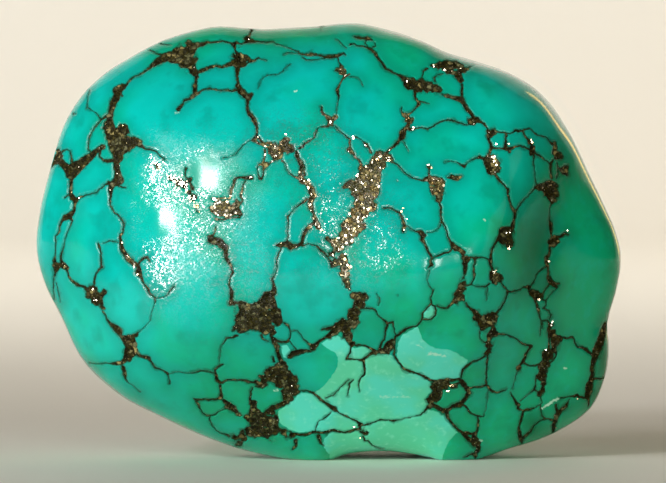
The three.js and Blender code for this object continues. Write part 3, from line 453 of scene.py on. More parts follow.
# Where seams widen into patches: x, y and radius in pixels of the rounds that run together there
PATCHES = {
    "left end": (
        (108, 127, 6), (122, 131, 8), (116, 142, 9), (124, 147, 7), (118, 155, 6), (57, 155, 7),
        (56, 266, 5), (62, 265, 4), (65, 269, 2.5), (93, 290, 5), (98, 297, 6), (88, 296, 4),
        (95, 300, 5), (102, 303, 3), (103, 308, 2), (105, 293, 3), (130, 343, 7), (131, 351, 7),
        (127, 357, 5), (74, 114, 1), (179, 109, 2.5), (121, 93, 3), (129, 141, 4.5), (134, 143, 5),
        (139, 142, 2.5), (176, 50, 3.5), (182, 46, 3), (189, 43, 3), (183, 66, 3), (87, 289, 4),
    ),
    "glitter": (
        (157, 166, 3), (171, 178, 3), (178, 182, 4.5), (185, 185, 4.5), (190, 180, 3), (189, 192, 2.5),
        (193, 198, 4), (197, 206, 2.5), (199, 212, 2),
    ),
    "upper left": (
        (183, 52, 8), (190, 48, 7), (190, 60, 7), (186, 64, 5), (193, 70, 5), (196, 73, 3), (238, 56, 5),
        (241, 59, 6), (236, 64, 5), (241, 65, 4), (231, 64, 3), (322, 27, 2),
    ),
    "middle": (
        (272, 149, 6), (278, 153, 6), (283, 147, 7), (286, 139, 4), (290, 148, 5), (275, 158, 4),
        (216, 203, 4), (217, 210, 6), (224, 206, 7), (226, 213, 6), (234, 210, 6), (237, 203, 4),
        (240, 215, 3), (212, 210, 3), (430, 179, 4), (436, 182, 5), (442, 184, 4), (434, 190, 4.5),
        (440, 190, 4.5), (437, 196, 4), (438, 201, 2.5), (398, 181, 1),
    ),
    "pyrite seam": (
        (378, 155, 5), (385, 156, 5), (389, 158, 3.5), (376, 162, 6), (381, 165, 5), (374, 170, 7),
        (366, 170, 6), (362, 178, 6), (371, 180, 8), (377, 176, 5), (350, 185, 5), (357, 186, 7),
        (366, 188, 7), (375, 188, 6), (343, 186, 2.5), (357, 192, 5), (368, 197, 7), (376, 194, 4),
        (362, 201, 6), (358, 205, 5), (366, 207, 7), (374, 206, 4.5), (356, 212, 5), (364, 214, 5),
        (352, 219, 4), (360, 219, 5), (346, 225, 4), (355, 226, 7), (362, 228, 4), (344, 233, 5),
        (352, 233, 6), (343, 239, 5), (350, 240, 4), (335, 243, 4.5), (340, 245, 5), (346, 244, 4),
        (326, 238, 1.5), (331, 240, 2), (333, 254, 4), (334, 264, 3.5), (338, 262, 4), (342, 256, 4),
        (344, 262, 5), (345, 268, 5), (345, 275, 5), (346, 282, 4), (347, 287, 3),
    ),
    "upper right": (
        (338, 71, 2.5), (342, 72, 4.5), (345, 76, 2.5), (335, 117, 3), (330, 122, 5), (407, 82, 4),
        (411, 84, 5), (416, 85, 6.5), (422, 85, 7), (428, 86, 6), (433, 88, 5), (438, 91, 4),
        (443, 94, 2.5), (473, 121, 4), (469, 119, 2), (434, 65, 3), (440, 65, 3.5), (444, 64, 4),
        (450, 64, 4.5), (457, 65, 5), (462, 69, 5), (467, 69, 3), (446, 69, 3), (452, 72, 4),
        (458, 76, 4), (461, 80, 3), (405, 116, 3), (408, 119, 4.5), (412, 119, 2),
    ),
    "lower left": (
        (235, 303, 3), (242, 306, 6), (242, 316, 8), (244, 326, 7), (254, 310, 8), (254, 322, 9),
        (264, 306, 8), (268, 298, 7), (266, 318, 9), (275, 312, 6), (274, 306, 5), (276, 319, 5),
        (264, 328, 7), (270, 294, 4), (283, 367, 5), (276, 370, 6), (285, 375, 8), (272, 377, 6),
        (280, 382, 7), (291, 382, 7), (264, 382, 4), (259, 385, 3), (288, 391, 7), (295, 390, 5),
        (289, 399, 5), (229, 406, 4), (234, 410, 3.5), (240, 415, 2.5), (247, 417, 3), (254, 411, 6),
        (255, 421, 7), (262, 417, 6), (268, 422, 8), (258, 430, 7), (250, 432, 6), (242, 436, 5),
        (233, 437, 3.5), (268, 433, 5), (276, 430, 6), (276, 420, 4), (273, 413, 4), (284, 433, 4),
        (238, 443, 4), (291, 437, 4), (253, 402, 4), (271, 441, 1.2), (236, 328, 4), (240, 330, 3),
        (268, 330, 4), (262, 331, 3), (276, 322, 3), (280, 320, 2), (274, 333, 2.5), (279, 324, 2),
        (279, 346, 3), (263, 378, 3.5), (268, 371, 4), (257, 382, 3),
    ),
    "lower middle": (
        (453, 246, 2.5), (458, 250, 2.5), (463, 253, 3.5), (467, 259, 4.5), (466, 266, 3),
        (465, 272, 2.5), (464, 278, 2), (464, 283, 3), (463, 290, 4), (459, 294, 4.5), (461, 299, 3.5),
        (456, 301, 3.5), (354, 295, 3.5), (359, 298, 5.5), (364, 297, 4), (358, 305, 5), (361, 305, 4.5),
        (356, 312, 5), (352, 315, 4), (353, 318, 4), (348, 322, 4), (342, 324, 6), (337, 328, 5.5),
        (345, 330, 5.5), (350, 325, 5), (355, 324, 4), (348, 335, 4), (333, 332, 4), (330, 336, 3),
        (349, 340, 4), (353, 345, 3), (376, 353, 3), (382, 352, 4), (388, 350, 4), (391, 345, 4.5),
        (394, 341, 3), (388, 345, 4), (361, 426, 3), (363, 431, 3.5), (365, 433, 2.5), (434, 384, 2.5),
        (436, 390, 4), (433, 396, 4), (430, 401, 3.5), (432, 405, 3.5), (438, 386, 5), (445, 386, 5),
        (452, 385, 3.5), (458, 384, 2.5), (439, 393, 4.5), (435, 399, 4), (474, 437, 3.5), (398, 296, 1),
    ),
    "right end": (
        (489, 133, 4), (491, 131, 3), (494, 131, 3), (510, 151, 2), (529, 140, 2.5), (531, 144, 2.5),
        (532, 148, 3), (531, 153, 2.5), (488, 160, 5), (492, 160, 6), (494, 165, 6), (497, 166, 4),
        (489, 165, 4), (493, 171, 4), (495, 174, 3), (491, 170, 3), (564, 170, 4), (566, 167, 2),
        (549, 184, 5), (545, 188, 4.5), (551, 188, 6), (555, 186, 4), (552, 193, 6), (555, 192, 4),
        (553, 198, 4), (553, 202, 2.5), (541, 186, 3), (538, 186, 3), (503, 231, 4), (508, 231, 5),
        (504, 235, 5), (509, 235, 5), (502, 239, 4), (507, 240, 5), (510, 243, 3.5), (508, 246, 3),
        (494, 273, 4), (498, 277, 4.5), (493, 278, 3), (500, 279, 3), (495, 281, 3), (556, 240, 4.5),
        (552, 243, 4), (536, 294, 4), (539, 295, 4), (534, 293, 3), (538, 298, 3), (477, 315, 3),
        (482, 318, 4.5), (488, 319, 5), (494, 317, 4.5), (484, 323, 4), (490, 324, 5), (493, 327, 3.5),
        (494, 314, 2.5), (476, 318, 3), (480, 323, 3), (482, 327, 2), (492, 333, 4), (496, 334, 3.5),
        (490, 337, 3), (489, 341, 3.5), (489, 346, 3), (489, 351, 3), (488, 354, 3), (552, 325, 3),
        (552, 331, 3.5), (553, 336, 4.5), (556, 341, 5), (554, 345, 4), (560, 339, 3), (554, 349, 3),
        (555, 352, 2.5), (547, 354, 4), (550, 357, 3), (545, 355, 2.5), (520, 368, 3), (542, 366, 4),
        (546, 364, 5), (543, 370, 4), (542, 375, 4), (539, 377, 3.5), (543, 380, 2.5), (544, 385, 2.5),
        (543, 390, 3), (541, 394, 2.5), (474, 443, 4), (478, 443, 3), (474, 455, 3),
    ),
}

# Where the turquoise is pale and chalky: outlines in pixels
CHALK = (
    ((322, 344), (330, 337), (338, 336), (344, 339), (348, 345), (354, 348), (362, 347), (370, 349),
     (373, 355), (385, 355), (391, 355), (396, 361), (401, 368), (410, 371), (420, 375), (425, 379),
     (431, 383), (433, 390), (428, 394), (425, 398), (428, 403), (426, 409), (437, 411), (444, 415),
     (450, 423), (455, 430), (458, 433), (453, 436), (449, 441), (447, 446), (444, 452), (442, 459),
     (440, 470), (331, 470), (330, 456), (325, 449), (322, 444), (325, 438), (330, 433), (318, 431),
     (300, 433), (290, 431), (282, 425), (276, 419), (278, 412), (285, 406), (293, 400), (297, 396),
     (302, 393), (313, 394), (319, 390), (324, 386), (329, 380), (334, 373), (338, 365), (338, 357),
     (334, 352), (327, 348)),
    ((396, 350), (398, 343), (402, 336), (408, 331), (414, 328), (417, 326), (420, 333), (423, 341),
     (429, 346), (438, 349), (448, 350), (455, 352), (462, 357), (468, 360), (466, 366), (461, 372),
     (459, 379), (450, 379), (440, 380), (432, 380), (425, 377), (419, 373), (410, 370), (404, 368),
     (398, 360)),
    ((424, 309), (430, 305), (436, 308), (436, 316), (430, 320), (424, 317)),
    ((281, 347), (287, 345), (291, 350), (289, 358), (283, 357)),
)
CHALK_PX = (255, 485, 290)  # left, right and top of the part of the front that they lie in

# Where it is greener, partly greener turquoise and partly painted shade at the bottom, the right end, the top
# and the hollow at the upper right: middle and half-widths in pixels, degrees turned, how much
GREENER_AND_SHADED = (
    ((330, 455), (330, 120), 0, 0.75), ((640, 260), (125, 330), 8, 1.0), ((420, 300), (60, 40), 0, 0.3),
    ((480, 250), (60, 90), 0, 0.3), ((425, 50), (60, 40), 20, 0.5), ((200, 30), (120, 22), -10, 0.5),
    ((300, 33), (70, 15), 0, 0.7),
)

# Where it is darker: painted shade in the hollow on the right, along the right end, at the top and at the
# lower left, and darker, a little see-through nodules: the same
DEEPER_AND_SHADED = (
    ((532, 240), (20, 56), 12, 1.0), ((610, 250), (26, 120), 4, 0.25), ((150, 405), (110, 40), 20, 0.2),
    ((323, 243), (9, 10), 0, 0.5), ((163, 281), (11, 14), 0, 0.35), ((285, 349), (8, 7), 0, 0.5),
    ((558, 165), (12, 20), 0, 0.5), ((545, 285), (14, 12), 0, 0.5), ((545, 322), (14, 12), 0, 0.4),
    ((603, 362), (8, 18), 0, 0.7), ((595, 395), (14, 14), 0, 0.6), ((565, 405), (16, 12), 0, 0.5),
    ((531, 419), (13, 12), 0, 0.8), ((540, 433), (22, 8), 0, 0.4), ((250, 350), (28, 22), 0, 0.2),
    ((375, 325), (22, 16), 0, 0.25), ((300, 33), (60, 12), 0, 0.3),
)

# Where the polish is dimpled and breaks a light into sparkle: the same
DIMPLED = (
    ((200, 215), (58, 75), 0, 1.3), ((350, 212), (44, 52), 20, 1.0), ((285, 130), (34, 20), 0, 0.8),
    ((250, 262), (26, 34), 0, 0.5), ((168, 221), (15, 17), 0, -2.2), ((208, 173), (14, 16), 0, -2.2),
    ((565, 175), (20, 14), 0, 0.4), ((374, 246), (24, 28), 30, 1.0), ((322, 150), (30, 34), 0, 0.8),
    ((334, 208), (16, 18), 0, 0.6), ((165, 265), (16, 34), 0, 0.6), ((252, 262), (24, 34), 0, 0.3),
)

# Pale streaks and specks of another mineral, and one painted highlight, the speck at (487, 217): both ends
# and the width in pixels, and how much
STREAKS = (
    ((545, 406), (560, 396), 3, 0.8), ((420, 342), (432, 351), 3, 0.5), ((432, 351), (447, 354), 4, 0.7),
    ((447, 354), (464, 361), 3, 0.6), ((404, 348), (416, 345), 1, 0.3), ((383, 395), (412, 395), 3, 0.4),
    ((297, 89), (299, 89), 2.5, 0.8), ((487, 217), (487, 218), 2.5, 0.7),
    ((567, 366), (569, 366), 2, 0.7), ((482, 438), (484, 439), 3, 0.8), ((277, 388), (279, 388), 4, 0.6),
    ((178, 109), (180, 109), 3, 0.5),
)

# Grains that flash in the photograph: x, y and width in pixels
BRIGHT_GRAINS = (
    (380, 157, 4), (389, 158, 7), (357, 175, 4), (362, 180, 4), (356, 189, 4), (357, 200, 4),
    (361, 203, 4), (368, 207, 4), (350, 214, 4), (358, 218, 4), (363, 217, 4), (346, 224, 4),
    (359, 226, 4), (345, 234, 4), (350, 234, 4), (338, 238, 4), (347, 265, 4), (345, 254, 3),
    (347, 282, 3), (333, 255, 4), (334, 264, 4), (354, 137, 4), (349, 151, 4), (366, 145, 4),
    (341, 72, 4), (345, 75, 4), (407, 81, 4), (445, 69, 4), (434, 65, 4), (407, 118, 4), (413, 128, 4),
    (390, 150, 3), (403, 208, 3), (402, 212, 3), (404, 229, 3), (408, 219, 2), (428, 165, 4),
    (431, 168, 4), (434, 179, 4), (453, 386, 7), (448, 391, 4), (466, 433, 4), (354, 427, 3),
    (360, 438, 3), (258, 136, 3), (251, 177, 4), (286, 134, 4), (275, 156, 4), (302, 178, 4),
    (309, 181, 4), (316, 195, 4), (310, 204, 4), (316, 224, 4), (322, 230, 4), (120, 243, 3),
    (126, 255, 3), (134, 267, 3), (137, 274, 3), (93, 300, 4), (91, 289, 4), (531, 140, 4), (532, 143, 4),
    (494, 157, 5), (495, 160, 4), (497, 164, 3), (545, 188, 4), (552, 185, 5), (510, 233, 4),
    (509, 248, 4), (549, 261, 4), (539, 300, 4), (495, 272, 5), (553, 322, 5), (552, 326, 4),
    (492, 334, 3), (568, 231, 4), (546, 350, 3), (577, 399, 3), (496, 143, 3), (509, 144, 3),
    (157, 166, 10), (163, 163, 4), (170, 177, 8), (178, 180, 10), (184, 184, 8), (176, 189, 8),
    (168, 187, 4), (187, 190, 5), (192, 199, 8), (196, 205, 7), (199, 212, 4),
)
FIRST_FLASH_PX = 175  # left of here they mirror the first window, and right of it the second
FLASH_LEAN = 0.07  # how much a crystal may lean away from that
FLASH_HALF = (0.6, 1.5)  # least and most half-width of a crystal, in pixels
FLASH_AREA = 5  # square pixels of a grain for each crystal in it

# Where pyrite lies thick in the matrix: middle and radius in pixels
PYRITE_RICH = (
    (372, 165, 20), (362, 190, 22), (355, 212, 18), (345, 236, 16), (347, 268, 10), (222, 207, 16),
    (275, 150, 14), (305, 180, 10), (313, 200, 9), (316, 225, 9), (432, 185, 12), (128, 262, 8),
    (495, 158, 8), (343, 75, 8), (403, 218, 6), (240, 190, 8), (328, 118, 10), (410, 120, 8),
    (350, 145, 8),
)
PYRITE_SPREAD = tuple(((x, y), (radius, radius), 0, 1.0) for x, y, radius in PYRITE_RICH)

# Crystals there and in the rest of the matrix: how far in from its edge, lean, and half-widths, in mm
THICK_PYRITE = (0.03, 0.25, (0.03, 0.10))
FINE_PYRITE = (0.05, 0.35, (0.018, 0.038))

# The front web, in pixels
WEB_STEPS = 3  # places per pixel at which its distances are kept
WEB_REACH = 16  # how far beyond a seam they are still worked out
WIDER = 0.4  # what a wide seam gains at each edge
WIDE_SEAM = (2.5, 5)  # widths at which that starts and is full
PATCH_BLEND = 1.6  # over which the rounds of a patch run together
PATCH_INSET = 0.3  # share of that by which a patch is drawn in again
RAGGED_WITHIN = 4  # of a patch's edge
RAGGED = ((2.4, 6, 0), (1.2, 2.5, 9))  # how far a patch's edge wanders, over how much, and a layer of noise

# The web elsewhere, in mm: nodules as on the solid, with smaller ones between them
BACK_NODULES = 96
NODULE_SCATTER = 0.16
LARGE_MORE = 1.15  # how much farther a large nodule reaches than a small one
SMALL_NODULES = 900
SMALL_SCATTER = 0.05
SMALL_GAP = 0.9  # small ones lie only where two large ones are about as near as each other
BACK_SEAM = (0.035, 0.075)  # least half-width, and what is added where a seam is widest
BACK_PATCH = 0.17
AT_ONCE = 4000  # places worked out at a time, so that the tables stay small

NOISE_SEED = 1  # noise vectors take it from the clock otherwise, and differ from run to run

# How edges wander: over how many mm, and how many mm
WEB_STRAY = ((0.5, 0.05), (0.15, 0.032))
BACK_STRAY = ((1.6, 0.35), (0.5, 0.10))
CHALK_STRAY = ((0.6, 0.06), (0.15, 0.04))

FRONT_FACING = (0.02, 0.09)  # how squarely the surface faces the camera where the front web takes over
HANDOVER = 0.7  # mm by which the other web is held back
SPOT_FADE = (2.5, 0.3)  # mm behind the middle over which the front's spots fade

# The mesh, in mm
LONGER_INSIDE = 2.2  # times longer edges within the matrix
EDGE_MARGIN = 0.05  # beside the web's edge, where the mesh is still fine
PIT_SLOPE = 0.12  # in from the edge, over which a pit falls away
GRANULAR = (0.16, 0.022, 0.06)  # grain, depth, and how far in from the matrix's edge it is full
SWELL = (1.7, 0.035)  # grain and height of the unevenness that the tumbling leaves

# Moving corners onto thin seams
SNAP_PASSES = 3
SNAP_FACING = 0.04  # how squarely the surface faces the camera, at least
THIN_SEAM = 4.5  # pixels
SNAP_EDGES = 2.5  # times the finest edge
SNAP_SHARE = 0.55  # of an edge that its end may move

# The stone's material
MATRIX_GRAIN = 0.2  # mm
MATRIX_WANDER = (0.12, 0.2)  # over how many mm, and how many mm
DIMPLE = 0.042  # mm, as coarse as it needs to be to show
BUMP = 0.05  # mm
FLATTENED = Vector((1, 0.2, 1))  # so that the depth hardly counts in the distance to a streak
CARRIED = ("matrix_mm", "chalk_mm", "greener", "deeper", "dimpled", "paler")  # by the mesh, to the material

# Its patterns: grain in mm, detail, levels of noise and what the pattern is at them, and how it runs between
PATTERNS = {
    "edge": (0.07, 2, (0, 1, -0.02, 0.02), "LINEAR"),
    "drift": (3.2, 2, (0.42, 0.68, 0, 0.45), "SMOOTHSTEP"),
    "lighter": (0.45, 4, (0.46, 0.72, 0, 0.16), "SMOOTHSTEP"),
    "mottling": (1.2, 3, (0.48, 0.72, 0, 0.35), "SMOOTHSTEP"),
    "warm chalk": (2.4, 3, (0.40, 0.62, 0, 1), "SMOOTHSTEP"),
    "flecks": (0.3, 4, (0.5, 1.1, 0, 1), "SMOOTHSTEP"),
    "staining": (0.5, 3, (0.45, 0.7, 0, 0.07), "SMOOTHSTEP"),
    "brown": (0.17, 3, (0.40, 0.60, 0, 1), "SMOOTHSTEP"),
    "broken": (0.14, 3, (0.35, 0.52, 0, 1), "SMOOTHSTEP"),
    "sparkle": (0.3, 3, (0.36, 0.56, 0.3, 1), "SMOOTHSTEP"),
    "gloss": (0.6, 2, (0, 1, 0.07, 0.15), "LINEAR"),
    "granules": (0.09, 3, (0, 1, 0, 1), "LINEAR"),
}

# Filled by the nugget's step, for the steps that come after it
MADE = {}


def linear(hex_colour):
    """An sRGB hex colour as the linear red, green, blue and alpha that shaders take."""
    channels = (int(hex_colour[i:i + 2], 16) / 255 for i in (1, 3, 5))
    return (*(c / 12.92 if c <= 0.04045 else ((c + 0.055) / 1.055) ** 2.4 for c in channels), 1.0)


def smoothstep(low, high, x):
    """0 at low, 1 at high, softly between."""
    t = np.clip((x - low) / (high - low), 0.0, 1.0)
    return t * t * (3 - 2 * t)


def from_middle(px, py):
    """A pixel of the photograph as mm to the right of and above the middle of the stone."""
    return (px - MIDDLE_PX[0]) * MM_PER_PX, (MIDDLE_PX[1] - py) * MM_PER_PX


def closed_outline():
    """The outline as angles and distances from the middle, run on past both ends so that it closes."""
    places = (from_middle(*pixel) for pixel in OUTLINE_PX)
    angle, reach = np.array(sorted((math.atan2(z, x), math.hypot(x, z)) for x, z in places)).T
    turn = 2 * math.pi
    angle = np.concatenate((angle[-2:] - turn, angle, angle[:2] + turn))
    return angle, np.concatenate((reach[-2:], reach, reach[:2]))


def outline_reach(towards, outline):
    """Distance from the middle to the outline in each direction, a smooth curve through its points."""
    angle, reach = outline
    end = np.clip(np.searchsorted(angle, towards, side="right"), 2, len(angle) - 2)
    start = end - 1
    span = angle[end] - angle[start]
    t = (towards - angle[start]) / span
    slope_start = (reach[end] - reach[start - 1]) / (angle[end] - angle[start - 1]) * span
    slope_end = (reach[end + 1] - reach[start]) / (angle[end + 1] - angle[start]) * span
    return (reach[start] * (2 * t**3 - 3 * t**2 + 1) + slope_start * (t**3 - 2 * t**2 + t)
            + reach[end] * (3 * t**2 - 2 * t**3) + slope_end * (t**3 - t**2))


def flat_depths(x, z, flat, depth):
    """How deep a worn flat lies in front of the middle plane, mm."""
    turn, lean, wear = math.radians(flat[0]), math.radians(flat[1]), flat[2]
    normal = (math.cos(lean) * math.sin(turn), math.cos(lean) * math.cos(turn), math.sin(lean))
    half_size = (LENGTH / 2, depth, HALF_HEIGHT)
    distance = math.hypot(*(n * half for n, half in zip(normal, half_size))) - wear
    return (distance - normal[0] * x - normal[2] * z) / normal[1]


def within(x, z, lump):
    """1 at the middle of an ellipse that is given in pixels, and falling softly to 0 outside it."""
    at, half, turned = lump[:3]
    x0, z0 = from_middle(*at)
    c, s = math.cos(math.radians(turned)), math.sin(math.radians(turned))
    u = ((x - x0) * c - (z - z0) * s) / (half[0] * MM_PER_PX)
    v = ((x - x0) * s + (z - z0) * c) / (half[1] * MM_PER_PX)
    return np.exp(-(u * u + v * v))


def stone_surface(directions, size):
    """Places, in mm from the middle of the stone, on its smooth form, for directions on the unit ball."""
    ring = np.minimum(1.0, np.hypot(directions[:, 0], directions[:, 2]))
    angle = np.arctan2(directions[:, 2], directions[:, 0])
    half_length = LENGTH / 2
    oval = half_length * HALF_HEIGHT / np.hypot(HALF_HEIGHT * np.cos(angle), half_length * np.sin(angle))
    reach = oval + (outline_reach(angle, closed_outline()) - oval) * ring**2
    x, z = reach * ring * np.cos(angle), reach * ring * np.sin(angle)
    y = np.zeros_like(x)
    sides = ((directions[:, 1] < 0, -1, size.front_depth, FRONT_FLATS, FRONT_LUMPS),
             (directions[:, 1] >= 0, 1, size.back_depth, BACK_FLATS, BACK_LUMPS))
    for here, sign, depth, flats, lumps in sides:
        hx, hz, hring = x[here], z[here], ring[here]
        rounded = depth * np.maximum(0.0, 1 - hring**size.roundness) ** (1 / size.roundness)
        total = np.ones_like(hx)
        for flat in flats:
            total += np.exp((rounded - flat_depths(hx, hz, flat, depth)) / size.wear_softness)
        deep = rounded - size.wear_softness * np.log(total)
        for lump in lumps:
            deep += lump[3] * within(hx, hz, lump) * (1 - hring**LUMP_FADE)
        least = rounded * LEAST_DEPTH
        over = deep - least
        y[here] = sign * (least + (over + np.sqrt(over**2 + (LEAST_SOFTNESS * rounded) ** 2)) / 2)
    return np.column_stack((x, y, z))


def middle_shift(size):
    """How far the stone is moved back so that its depth is even about the middle, mm."""
    coarse = bmesh.new()
    bmesh.ops.create_icosphere(coarse, subdivisions=5, radius=1.0)
    depths = stone_surface(np.array([v.co.normalized() for v in coarse.verts]), size)[:, 1]
    coarse.free()
    return -(depths.min() + depths.max()) / 2


def facing(places, size):
    """Which way the surface faces, near enough for the web."""
    depth = np.where(places[:, 1] < 0, size.front_depth, size.back_depth)
    half_size = np.column_stack((np.full(len(places), LENGTH / 2), depth, np.full(len(places), HALF_HEIGHT)))
    normal = places / half_size ** 2
    return normal / np.linalg.norm(normal, axis=1)[:, None]


def photo_pixels(places):
    """Where the camera sees each place, in the photograph's pixels."""
    aim_x, aim_z = from_middle(FRAME_PX[0] / 2, FRAME_PX[1] / 2)
    right = places[:, 0] - aim_x
    forward = places[:, 1] * math.cos(VIEW_ELEVATION) - (places[:, 2] - aim_z) * math.sin(VIEW_ELEVATION)
    up = places[:, 1] * math.sin(VIEW_ELEVATION) + (places[:, 2] - aim_z) * math.cos(VIEW_ELEVATION)
    scale = VIEW_DISTANCE / (VIEW_DISTANCE + forward) / MM_PER_PX
    return FRAME_PX[0] / 2 + right * scale, FRAME_PX[1] / 2 - up * scale


class FrontWeb:
    """Distances, in pixels, from places in the photograph to the edges of the matrix and its seams."""

    def __init__(self):
        shape = (FRAME_PX[1] * WEB_STEPS, FRAME_PX[0] * WEB_STEPS)
        self.edge = np.full(shape, float(WEB_REACH))
        self.rounds = np.full(shape, math.exp(-WEB_REACH / PATCH_BLEND))
        self.seam = np.full(shape, float(WEB_REACH))
        self.to_seam = np.zeros((*shape, 2))
        self.width = np.full(shape, float(WEB_REACH))
        for seams in SEAMS.values():
            for seam in seams:
                for start, end in zip(seam, seam[1:]):
                    self.draw(start, end)
        for patches in PATCHES.values():
            for x, y, radius in patches:
                self.draw((x, y, 2 * radius), (x, y, 2 * radius), patch=True)
        patch = PATCH_BLEND * (PATCH_INSET - np.log(self.rounds))
        near = np.argwhere(np.abs(patch) < RAGGED_WITHIN)
        patch[tuple(near.T)] += [self.ragged(x / WEB_STEPS, y / WEB_STEPS) for y, x in near]
        self.edge = np.minimum(self.edge, patch)

    @staticmethod
    def ragged(x, y):
        """How far the edge of a patch wanders at a pixel."""
        return sum(far * noise.noise(Vector((x, y, layer)) / over) for far, over, layer in RAGGED)

    def draw(self, start, end, patch=False):
        """Lays one stretch of seam, or one round of a patch, into the maps."""
        reach = WEB_REACH + max(start[2], end[2]) / 2
        rows, columns = self.edge.shape
        x0 = max(0, int((min(start[0], end[0]) - reach) * WEB_STEPS))
        x1 = min(columns, int((max(start[0], end[0]) + reach) * WEB_STEPS) + 1)
        y0 = max(0, int((min(start[1], end[1]) - reach) * WEB_STEPS))
        y1 = min(rows, int((max(start[1], end[1]) + reach) * WEB_STEPS) + 1)
        y, x = np.mgrid[y0:y1, x0:x1] / WEB_STEPS
        dx, dy = end[0] - start[0], end[1] - start[1]
        length = max(dx * dx + dy * dy, 1e-9)
        t = np.clip(((x - start[0]) * dx + (y - start[1]) * dy) / length, 0, 1)
        off_x, off_y = start[0] + t * dx - x, start[1] + t * dy - y
        distance = np.hypot(off_x, off_y)
        width = start[2] + t * (end[2] - start[2])
        here = (slice(y0, y1), slice(x0, x1))
        if patch:
            self.rounds[here] += np.exp((width / 2 - distance) / PATCH_BLEND)
            return
        edge = distance - width / 2 - WIDER * smoothstep(*WIDE_SEAM, width)
        self.edge[here] = np.minimum(self.edge[here], edge)
        nearer = distance < self.seam[here]
        self.seam[here] = np.where(nearer, distance, self.seam[here])
        self.width[here] = np.where(nearer, width, self.width[here])
        to_seam = np.stack((off_x, off_y), axis=-1)
        self.to_seam[here] = np.where(nearer[..., None], to_seam, self.to_seam[here])

    def at(self, values, px, py):
        """The values at places between the kept ones."""
        rows, columns = self.edge.shape
        x = np.clip(px * WEB_STEPS, 0, columns - 1.001)
        y = np.clip(py * WEB_STEPS, 0, rows - 1.001)
        i, j = y.astype(int), x.astype(int)
        v, u = y - i, x - j
        if values.ndim == 3:
            u, v = u[:, None], v[:, None]
        return ((values[i, j] * (1 - u) + values[i, j + 1] * u) * (1 - v)
                + (values[i + 1, j] * (1 - u) + values[i + 1, j + 1] * u) * v)


class BackWeb:
    """Distances, in mm, to the edges of the matrix around the sides and the back."""

    def __init__(self, size):
        large = [self.nodule(i, BACK_NODULES, NODULE_SCATTER) for i in range(BACK_NODULES)]
        small = [self.nodule(i, SMALL_NODULES, SMALL_SCATTER) for i in range(SMALL_NODULES)]
        large = stone_surface(np.array(large), size)
        small = stone_surface(np.array(small), size)
        gap = np.sort(np.linalg.norm(small[:, None] - large[None], axis=2), axis=1)
        three_of_five = np.arange(SMALL_NODULES) % 5 < 3
        between = (gap[:, 1] - gap[:, 0] < SMALL_GAP) & three_of_five
        self.middles = np.concatenate((large, small[between]))
        self.more = np.concatenate((np.full(len(large), LARGE_MORE), np.zeros(between.sum())))

    @staticmethod
    def nodule(i, count, scatter):
        """An even place on the ball, moved a little."""
        height = 1 - (2 * i + 1) / count
        turn = i * math.pi * (3 - math.sqrt(5))
        ring = math.sqrt(1 - height * height)
        moved = Vector((math.sin(i * 12.9), math.sin(i * 78.2 + 1), math.sin(i * 37.7 + 2)))
        return (Vector((ring * math.cos(turn), height, ring * math.sin(turn))) + moved * scatter).normalized()

    def distance(self, places):
        """Below 0 in the matrix. Seams are where two nodules meet, and patches where three do."""
        out = np.empty(len(places))
        for start in range(0, len(places), AT_ONCE):
            some = places[start:start + AT_ONCE]
            reach = np.linalg.norm(some[:, None] - self.middles[None], axis=2) - self.more
            reach.partition(2, axis=1)
            nearest = np.sort(reach[:, :3], axis=1)
            varied = np.sin(some[:, 0] * 0.9 + some[:, 2]) * np.sin(some[:, 1])
            width = BACK_SEAM[0] + BACK_SEAM[1] * smoothstep(-0.2, 0.5, varied)
            seam = (nearest[:, 1] - nearest[:, 0]) / 2 - width
            patch = (nearest[:, 2] - nearest[:, 0]) / 2 - BACK_PATCH
            out[start:start + AT_ONCE] = np.minimum(seam, patch)
        return out


def outside(px, py, polygon):
    """Distance to a closed polygon's edge, below 0 inside it."""
    distance = np.full(len(px), 1e9)
    inside = np.zeros(len(px), bool)
    for (x0, y0), (x1, y1) in zip(polygon, polygon[1:] + polygon[:1]):
        dx, dy = x1 - x0, y1 - y0
        t = np.clip(((px - x0) * dx + (py - y0) * dy) / (dx * dx + dy * dy), 0, 1)
        distance = np.minimum(distance, np.hypot(x0 + t * dx - px, y0 + t * dy - py))
        if dy:
            inside ^= ((y0 > py) != (y1 > py)) & (px < x0 + dx * (py - y0) / dy)
    return np.where(inside, -distance, distance)


def stray(places, ways):
    """Moves each place a little, by smooth random vectors that change over so many mm."""
    for grain, amount in ways:
        moves = [noise.noise_vector(Vector(place) / grain) for place in places]
        places = places + np.array(moves) * amount
    return places


def roughened(places, grain):
    """Smooth random heights, from about -1 to 1, that change over so many mm."""
    return np.array([noise.noise(Vector(place) / grain) for place in places])


class Sizes:
    """The sizes that are set, with lengths in mm."""

    def __init__(self, group):
        for name, prop in group.bl_rna.properties.items():
            value = getattr(group, name)
            setattr(self, name, round(value / MM, 6) if prop.unit == "LENGTH" else value)


